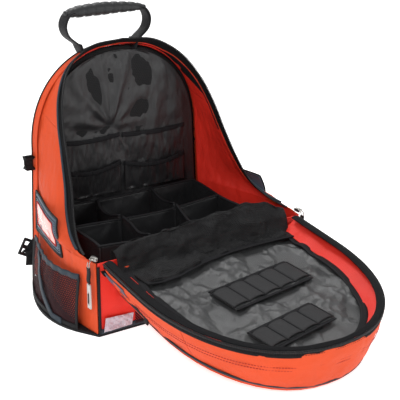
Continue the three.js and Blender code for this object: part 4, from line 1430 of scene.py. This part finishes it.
def makeLidLining():
    grid = lidDisc(0.012, 190, 170, 0.003)
    fade = edgeFade(grid.shape[:2], 0.05)
    edge = 1 - edgeFade(grid.shape[:2], 0.16)
    broad = noiseField(grid, 0.10, 91, (1, 1, 1)) * 0.0070
    ridge = noiseField(grid, 0.075, 92, (1.1, 0.8, 1), "ridge") * 0.0060
    fine = noiseField(grid, 0.030, 93, (1, 1, 1), "ridge") * 0.0022
    lift = (broad + ridge + fine) * fade + edge * 0.004
    grid[..., 2] += np.clip(lift, -0.0025, 0.009)
    made = closedSheet("lidLining", grid, 0.0010, "lidLining", None, ("along", (0, 0, 1)))
    sheetArea(grid)
    fitted(made, "lid", "lining", "lid_lining")
    # The lining's bound edge, set in from the wall.
    s = np.linspace(0.02, 1, 130)
    x, y = lidOutline(s, lid["apron"] + 0.003)
    left = np.stack([x, hingeY - y, liningTop(y) + 0.0075], axis=-1)
    path = np.concatenate([left, mirror(left[::-1][1:])])
    path[:, 2] += 0.002 * np.sin(np.arange(len(path)) * 0.21)
    edgeBand = tape("lidLiningBinding", path, (0, 0, 1), 0.013, 0.0028, "binding")
    fitted(edgeBand, "lid", "lining")
    # The wall's red inner side folds in over the lining.
    def apron(a, v):
        x, y = lidOutline(a, lerp(0.003, lid["apron"], v))
        top = rimRise(y / lid["length"]) - 0.002
        z = lerp(top, liningTop(y) + 0.008, v ** 0.62) + 0.002 * np.sin(np.pi * v) * np.sin(a * 23)
        return np.stack([x, hingeY - y, z], axis=-1)
    grid = gridOf(overTop(apron, 0.012), 260, 18)
    grid = wrinkled(grid, ("along", (0, 0, 1)), 0.0016, 0.035, 94, 0.06)
    made = closedSheet("lidInnerWall", grid, 0.0012, "inner", None, ("along", (0, 0, 1)))
    fitted(made, "lid", "inner_cloth")


def makeLidOutside():
    piece = copyOfNode("lidOuterFace", "lid_panel", "shell")
    applied(piece, "BEVEL", width=0.0014, segments=2, limit_method="ANGLE")
    applied(piece, "TRIANGULATE")
    addBoxUv(piece)
    fitted(piece, "lid", "shell_cloth", "lid_panel")
    pouch = copyOfNode("lidPouch", "lid_pouch", "shell")
    swollen(pouch, 3.0, 0.004, 0.004)
    addBoxUv(pouch)
    fitted(pouch, "lid", "shell_cloth", "lid_pouch")
    wall = copyOfNode("lidHingeWall", "lid_hinge_wall", "inner")
    applied(wall, "BEVEL", width=0.001, segments=2)
    addBoxUv(wall)
    fitted(wall, "lid", "inner_cloth", "lid_hinge_wall")
    for name, sign in (("left", 1), ("right", -1)):
        grid = gridOf(lambda u, v: lidWall(lerp(0.03, 0.3, u), lerp(0.20, 0.42, v), 0.0060), 70, 8)
        grid = turned(grid, sign)
        strip = closedSheet("reflectiveStrip_" + name, grid, 0.0012, "reflect", None,
                            ("along", (-sign, 0, 0)))
        fitted(strip, "lid", "trim", "reflective_strip_" + name)
        tacks = []
        for place in (0.18, 0.33, 0.40):
            line = turned(lidWall(np.full(12, place), np.linspace(0.45, 0.85, 12), 0.0055), sign)
            tacks.append(tape("barTack", line, (-sign, 0, 0), 0.004, 0.0012, "binding"))
        loop = turned(lidWall(np.linspace(0.455, 0.50, 14), np.full(14, 0.72), 0.0058), sign)
        tacks.append(tape("lidTab", loop, (-sign, 0, 0), 0.018, 0.004, "webbing"))
        fitted(joined("lidTacks_" + name, tacks), "lid", "webbing")


def addBoxUv(piece):
    only(piece)
    bpy.ops.object.mode_set(mode="EDIT")
    bpy.ops.mesh.select_all(action="SELECT")
    bpy.ops.uv.cube_project(cube_size=1.0, scale_to_bounds=False)
    bpy.ops.object.mode_set(mode="OBJECT")


def onLid(x, distance, lift=0.0):
    x, distance = np.broadcast_arrays(np.asarray(x, dtype=float), np.asarray(distance, dtype=float))
    return np.stack([x, hingeY - distance, liningTop(distance) + lift], axis=-1)


meshPocket = {"hem": ((-0.172, 0.062), (-0.135, 0.068), (-0.10, 0.064), (-0.038, 0.044), (0.033, 0.032),
                      (0.095, 0.030),
                      (0.135, 0.030), (0.172, 0.032))}


def makeLidMesh():
    low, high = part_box("lid_mesh_pocket")
    xs = np.array([p[0] for p in meshPocket["hem"]])
    ds = np.array([p[1] for p in meshPocket["hem"]])

    def face(u, v):
        x = lerp(low.x + 0.010 + 0.008 * v, high.x - 0.004, u)
        d = lerp(0.004, np.interp(x, xs, ds), v)
        puff = 0.012 * np.sin(np.pi * u) ** 0.4 * (1 - v) ** 0.5 * (0.4 + v)
        return onLid(x, d, 0.0085 + puff)

    grid = gridOf(face, 170, 50)
    grid = wrinkled(grid, ("along", (0, 0, 1)), 0.009, 0.045, 101, 0.06)
    grid = wrinkled(grid, ("along", (0, 0, 1)), 0.003, 0.018, 102, 0.06)
    made = closedSheet("lidMeshPocket", grid, 0.0010, "blackMesh", None, ("along", (0, 0, 1)))
    sheetArea(grid)
    fitted(made, "lid", "lining_mesh", "lid_mesh_pocket")
    liningTop(0.03) + 0.007
    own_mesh(made)
    hem = tape("lidMeshHem", grid[:, -1] + np.array([0, 0, 0.0012]), (0, 0, 1), 0.0125, 0.0028, "binding")
    fitted(hem, "lid", "webbing", "lid_mesh_hem")


loops = {
    "near": {"node": "loop_strip_near", "count": 5, "length": 0.186, "width": 0.066, "x": 0.018, "d": 0.148,
             "turn": 0.15},
    "far": {"node": "loop_strip_far", "count": 4, "length": 0.150, "width": 0.056, "x": -0.015, "d": 0.274,
            "turn": 0.18},
}


def makeLoops():
    # Elastic strips: a base web with standing arches, bar-tacked between them.
    for name, look in loops.items():
        ahead = np.array([math.cos(look["turn"]), math.sin(look["turn"])])
        aside = np.array([-ahead[1], ahead[0]])

        def at(along, across, lift, look=look, ahead=ahead, aside=aside):
            x = look["x"] + along * ahead[0] + across * aside[0]
            d = look["d"] - (along * ahead[1] + across * aside[1])
            return onLid(x, d, lift)

        def base(u, v, look=look, at=at):
            return at((u - 0.5) * look["length"], (v - 0.5) * look["width"], 0.0052)

        grid = wrinkled(gridOf(base, 90, 30), ("along", (0, 0, 1)), 0.0016, 0.03, 111, 0.1)
        pieces = [closedSheet("loopBase", grid, 0.0010, "lidLining", None, ("along", (0, 0, 1)))]
        for edge in (-0.5, 0.5):
            line = at(np.linspace(-0.5, 0.5, 60) * look["length"], np.full(60, edge * look["width"]), 0.0062)
            pieces.append(tape("loopEdge", line, (0, 0, 1), 0.007, 0.0018, "binding"))
        for i in range(look["count"] + 1):
            along = (i / look["count"] - 0.5) * look["length"]
            line = at(np.full(16, along), np.linspace(-0.44, 0.44, 16) * look["width"], 0.0078)
            pieces.append(tape("loopTack", line, (0, 0, 1), 0.0030, 0.0012, "binding"))
        def arches(u, v, look=look, at=at):
            along = (u - 0.5) * look["length"]
            phase = (u * look["count"]) % 1.0
            arch = np.sin(np.pi * np.clip((phase - 0.04) / 0.92, 0, 1)) ** 0.5
            return at(along, (v - 0.5) * look["width"] * 0.80, 0.0066 + 0.0034 * arch)

        grid = gridOf(arches, look["count"] * 26, 10)
        pieces.append(closedSheet("loopElastic", grid, 0.0014, "elastic", None, ("along", (0, 0, 1))))
        fitted(joined("loopStrip_" + name, pieces), "lid", "webbing", look["node"])


def makeHinge():
    # Cloth that joins the front wall to the lid, outside and inside.
    low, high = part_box("front_panel")

    def outside(u, v):
        x = lerp(-1, 1, u) * lerp(high.x - 0.004, lid["half"] - 0.014, v)
        y = lerp(low.y - 0.0005, hingeY - 0.004, v)
        z = bag["hingeHeight"] - 0.014 - 0.012 * np.sin(np.pi * v)
        return np.stack([x, y, z], axis=-1)

    grid = wrinkled(gridOf(outside, 140, 14), ("along", (0, 0, 1)), 0.0025, 0.03, 121, 0.1)
    made = closedSheet("hingeCloth", grid, 0.0014, "shell", "tape", ("along", (0, 0, -1)))
    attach(made, "pack")
    return made


def addBlock(name, size, place, material, bevel=0.0008, segments=3):
    bpy.ops.object.select_all(action="DESELECT")
    bpy.ops.mesh.primitive_cube_add(size=1)
    piece = bpy.context.view_layer.objects.active
    piece.name = name
    piece.scale = size
    piece.location = place
    bpy.ops.object.transform_apply(location=True, rotation=True, scale=True)
    piece.data.materials.append(finishes[material])
    applied(piece, "BEVEL", width=bevel, segments=segments)
    bpy.ops.object.shade_smooth_by_angle()
    return piece


def makeSlider(name, sign):
    # Cast slider: a waisted body, a bridge over it, and a ring to the puller.
    low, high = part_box("zip_slider_" + name)
    middle = (low + high) / 2
    body = addBlock("sliderBody", (0.0075, 0.0165, 0.0085), middle, "metal", 0.0024, 4)
    only(body)
    for vertex in body.data.vertices:
        share = (vertex.co.y - middle.y) / 0.00825
        vertex.co.z = middle.z + (vertex.co.z - middle.z) * (1.0 - 0.28 * max(share, 0) - 0.1 * max(-share,
                                                                                                    0))
    x = middle.x - sign * 0.0042
    bridge = cordLine("sliderBridge",
                      curved([(x + sign * 0.001, middle.y - 0.006, middle.z),
                              (x - sign * 0.0026, middle.y - 0.004, middle.z),
                                              (x - sign * 0.003, middle.y + 0.003, middle.z),
                                              (x + sign * 0.001, middle.y + 0.006, middle.z)], 24),
                      0.0012, "metal", (0, 0, 1), 10)
    fitted(joined("zipSlider_" + name, [body, bridge]), "slider_" + name, "zip_metal", "zip_slider_" + name)

    low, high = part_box("zip_puller_" + name)
    x, y = (low.x + high.x) / 2 - sign * 0.005, (low.y + high.y) / 2
    top = high.z
    split = low.z + 0.046
    ring = curved([(x + sign * 0.006, y, top - 0.001), (x + sign * 0.001, y - 0.003, top - 0.005),
                   (x, y - 0.0035, top - 0.012),
                   (x, y, top - 0.016), (x, y + 0.0035, top - 0.012),
                   (x + sign * 0.001, y + 0.003, top - 0.005)], 36)
    pieces = [cordLine("pullRing", ring, 0.0010, "metal", (1, 0.2, 0), 8)]
    web = [(x, y, top - 0.014), (x + sign * 0.0006, y, top - 0.024), (x - sign * 0.0008, y, top - 0.036),
           (x, y, split + 0.002)]
    pieces.append(tape("pullWeb", curved(web, 40), (1, 0, 0), 0.0112, 0.0030, "webbing"))
    cord = [(x - sign * 0.0004, y - 0.0022, top - 0.030), (x - sign * 0.0012, y - 0.0022, split + 0.004),
            (x, y - 0.001, split - 0.004)]
    pieces.append(cordLine("pullCord", curved(cord, 20), 0.0009, "webbing", (1, 0, 0)))
    bar = addPullBar("pullBar_" + name, x, y, low.z, split)
    pieces.append(bar)
    grip = [(x - sign * 0.0022, y, low.z + 0.010), (x - sign * 0.0022, y, low.z + 0.028)]
    pieces.append(tape("pullInset", resampled(grip, count=10), (1, 0, 0), 0.0034, 0.0012, "plastic"))
    fitted(joined("zipPuller_" + name, pieces), "puller_" + name, "puller", "zip_puller_" + name)


def addPullBar(name, x, y, bottom, top):
    # A stiff bar with a long slot in it: a plate whose middle strip is cut out and whose edges are rounded.
    bpy.ops.object.select_all(action="DESELECT")
    bpy.ops.mesh.primitive_plane_add(size=1, location=(0, 0, 0))
    piece = bpy.context.view_layer.objects.active
    piece.name = name
    bpy.ops.object.mode_set(mode="EDIT")
    bpy.ops.mesh.inset(thickness=0.32, depth=0)
    bpy.ops.mesh.delete(type="FACE")
    bpy.ops.mesh.select_all(action="SELECT")
    bpy.ops.object.mode_set(mode="OBJECT")
    tall = top - bottom
    for vertex in piece.data.vertices:
        a, b = vertex.co.x, vertex.co.y
        inner = abs(a) < 0.3
        across = (0.0019 if inner else 0.0054) * (1 if a > 0 else -1)
        rise = lerp(0.14, 0.66, b > 0) if inner else (0.0 if b < 0 else 1.0)
        vertex.co = (x, y + across, bottom + tall * rise)
    applied(piece, "SOLIDIFY", thickness=0.003, offset=0)
    applied(piece, "BEVEL", width=0.0009, segments=3, limit_method="ANGLE")
    piece.data.materials.append(finishes["silver"])
    recalculated(piece)
    bpy.ops.object.shade_smooth_by_angle()
    return piece


def makeLock(name, sign):
    # Ladder lock: the frame's plate with rounded edges and a grip lip, over its web.
    plate = copyOfNode("ladderLock_" + name, "ladder_lock_" + name, "plastic")
    applied(plate, "BEVEL", width=0.0011, segments=3, limit_method="ANGLE")
    low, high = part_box("ladder_lock_" + name)
    middle = (low + high) / 2
    bar = addBlock("lockBar", (0.030, 0.0042, 0.0052), middle, "plastic", 0.0014)
    turn = Matrix.Rotation(-sign * 0.5, 4, "Y")
    bar.data.transform(Matrix.Translation(middle) @ turn @ Matrix.Translation(-middle))
    piece = joined("ladderLock_" + name, [plate, bar])
    bpy.ops.object.shade_smooth_by_angle()
    fitted(piece, "adjuster_" + name, "buckle", "ladder_lock_" + name)


def makeStrap(name, sign):
    pad = copyOfNode("shoulderStrap_" + name, "shoulder_strap_" + name, "airMesh")
    swollen(pad, 4.0, 0.004, 0.005)
    addBoxUv(pad)
    fitted(pad, "pack", "harness_pad", "shoulder_strap_" + name)
    top, foot = 0.404, 0.150
    v = np.linspace(0.0, 1.0, 90)
    x = -lerp(0.0475, 0.095, np.sin(v * math.pi / 2))
    y = bag["backY"] + 0.012 + 0.016 * np.sin(np.pi * v)
    z = lerp(top, foot, v)
    middle = np.stack([x, y, z], axis=-1)
    edges = []
    for side in (-1, 1):
        line = middle + np.array([1.0, 0, 0]) * (side * 0.031 * (1 - 0.25 * v) * 0.97)[:, None]
        edges.append(sweep("strapPiping", turned(line, sign), (0, 1, 0), ovalSection(0.006, 0.0148, 12),
                           "binding"))
    web = middle + np.array([0, 0.0078, 0])
    edges.append(tape("strapWeb", turned(web[8:], sign), (0, 1, 0), 0.025, 0.0026, "webbing"))
    fitted(joined("strapEdges_" + name, edges), "pack", "webbing")
    start = turned(np.array([-0.095, bag["backY"] + 0.012, foot + 0.004]), sign)
    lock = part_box("ladder_lock_" + name)
    end = (lock[0] + lock[1]) / 2
    end = np.array([end.x, bag["backY"] + 0.0085, end.z - 0.002])
    line = resampled([start, lerp(start, end, 0.5) + np.array([0, 0.0, -0.001]), end], count=40)
    lower = tape("lowerWeb_" + name, line, (0, 1, 0), 0.021, 0.0024, "webbing")
    tail = [end, end + np.array([sign * 0.004, 0.004, -0.014]), end + np.array([sign * 0.001, 0.002, -0.034])]
    loose = tape("webTail", curved([tuple(p) for p in tail], 24), (0, 1, 0), 0.021, 0.0024, "webbing")
    fitted(joined("strapWeb_" + name, [lower, loose]), "pack", "webbing", "strap_web_" + name)


def makeSternum():
    for name, body in (("left", "sternum"), ("right", "sternum_plug")):
        low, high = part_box("sternum_web_" + name)
        y, z = (low.y + high.y) / 2, (low.z + high.z) / 2
        line = [(x, y, z) for x in np.linspace(low.x, high.x, 30)]
        fitted(tape("sternumWeb_" + name, line, (0, 1, 0), high.z - low.z, 0.0024, "webbing"), body,
               "webbing", "sternum_web_" + name)
    for node, body in (("sternum_buckle_socket", "sternum"), ("sternum_buckle_plug", "sternum_plug")):
        piece = copyOfNode(node + "_shell", node, "plastic")
        applied(piece, "BEVEL", width=0.0016, segments=3, limit_method="ANGLE")
        low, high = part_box(node)
        middle = (low + high) / 2
        face = addBlock("buckleFace", ((high.x - low.x) * 0.55, 0.0016, (high.z - low.z) * 0.42),
                        (middle.x, high.y - 0.0002, middle.z), "plastic", 0.0007)
        piece = joined(node + "_shell", [piece, face])
        bpy.ops.object.shade_smooth_by_angle()
        fitted(piece, body, "buckle", node)


def makeBackPad():
    # Outside of the back panel: a padded mesh panel with sewn channels and a bound edge.
    piece = copyOfNode("backPad", "back_panel", "airMesh")
    swollen(piece, 3.5, 0.004, 0.006)
    channels = (-0.06, 0.06)
    back = bag["backY"]
    for vertex in piece.data.vertices:
        if vertex.co.y > back - 0.004:
            dip = max(math.exp(-((vertex.co.x - c) / 0.006) ** 2) for c in channels)
            vertex.co.y -= dip * 0.006
    addBoxUv(piece)
    fitted(piece, "pack", "shell_cloth", "back_panel")
    a = np.linspace(0.012, 1, 160)
    left = backOutline(a, -0.002)
    left[:, 1] = back - 0.002
    path = np.concatenate([left, mirror(left[::-1][1:])])
    edge = sweep("backBinding", path, (0, 1, 0), ovalSection(0.010, 0.005, 10), "binding")
    fitted(edge, "pack", "webbing")
    # The shell's cloth turns round the panel's edge as far as the binding.
    left = backOutline(np.linspace(0.012, 1, 160), -0.0042)
    half = np.stack([left + np.array([0, y, 0]) for y in (-0.008, 0.0, 0.007,
                                                          bag["backY"] - bag["liningY"] - 0.001)], axis=1)
    grid = np.concatenate([half, mirror(half[::-1][1:])])
    border = closedSheet("backBorder", grid, 0.0014, "shell", None, ("from", (0, 0.15, 0.2)))
    fitted(border, "pack", "shell_cloth")


def makeBase():
    piece = copyOfNode("basePanel", "base_panel", "binding")
    applied(piece, "BEVEL", width=0.0016, segments=3, limit_method="ANGLE")
    applied(piece, "TRIANGULATE")
    addBoxUv(piece)
    bpy.ops.object.shade_smooth_by_angle()
    fitted(piece, "pack", "shell_cloth", "base_panel")


def makeStage():
    bpy.ops.object.select_all(action="DESELECT")
    bpy.ops.mesh.primitive_plane_add(size=30, location=(0, 0, -0.0002))
    floor = bpy.context.view_layer.objects.active
    floor.name = "floor"
    floor.data.materials.append(mouldedPaint("paleFloor", (0.9, 0.9, 0.9), 0.9, 20.0, 0.0, "Object",
                                             Emission_Color=(1.0, 1.0, 1.0, 1.0), Emission_Strength=0.75))
    world = bpy.data.worlds.new("studio")
    world.use_nodes = True
    world.node_tree.nodes["Background"].inputs[0].default_value = (1.0, 1.0, 1.0, 1.0)
    world.node_tree.nodes["Background"].inputs[1].default_value = 0.5
    bpy.context.scene.world = world
    bpy.context.scene.view_settings.view_transform = "Standard"
    lights = {
        "key": {"place": (-1.7, -1.5, 1.9), "size": 0.9, "power": 34},
        "fill": {"place": (1.9, -2.2, 1.3), "size": 1.0, "power": 20},
        "top": {"place": (0.2, 0.9, 2.4), "size": 0.9, "power": 30},
        "back": {"place": (0.4, 2.4, 1.6), "size": 1.4, "power": 16},
    }
    for name, look in lights.items():
        data = bpy.data.lights.new(name, "AREA")
        data.size = look["size"]
        data.energy = look["power"]
        lamp = bpy.data.objects.new(name, data)
        bpy.context.scene.collection.objects.link(lamp)
        lamp.location = look["place"]
        aim = Vector((0, -0.1, 0.15)) - lamp.location
        lamp.rotation_euler = aim.to_track_quat("-Z", "Y").to_euler()


makeShell()
makeRim()
makeFacing()
print("body shell and rim done")
makeBackLining()
makeBackPockets()
makeDividers()
print("inside of the body done")
eachSide(makeSidePocket)
eachSide(makeSideTrim)
makeHandle()
makeFront()
print("pockets, handle and front done")
makeLidWalls()
makeLidRim()
makeLidLining()
makeLidMesh()
makeLoops()
makeLidOutside()
print("lid done")
overMesh = makeMeshHump()
hingeCloth = makeHinge()
eachSide(makeSlider)
eachSide(makeLock)
eachSide(makeStrap)
makeSternum()
makeBackPad()
makeBase()
print("hardware and harness done")
for piece, start, end in ((overMesh, (0, bag["frontY"] + 0.004, 0.14), (0, hingeY - 0.03, 0.13)),
                          (hingeCloth, (0, bag["frontY"], 0.135), (0, hingeY - 0.004, 0.13))):
    piece.parent = None
    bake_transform(piece)
makeStage()
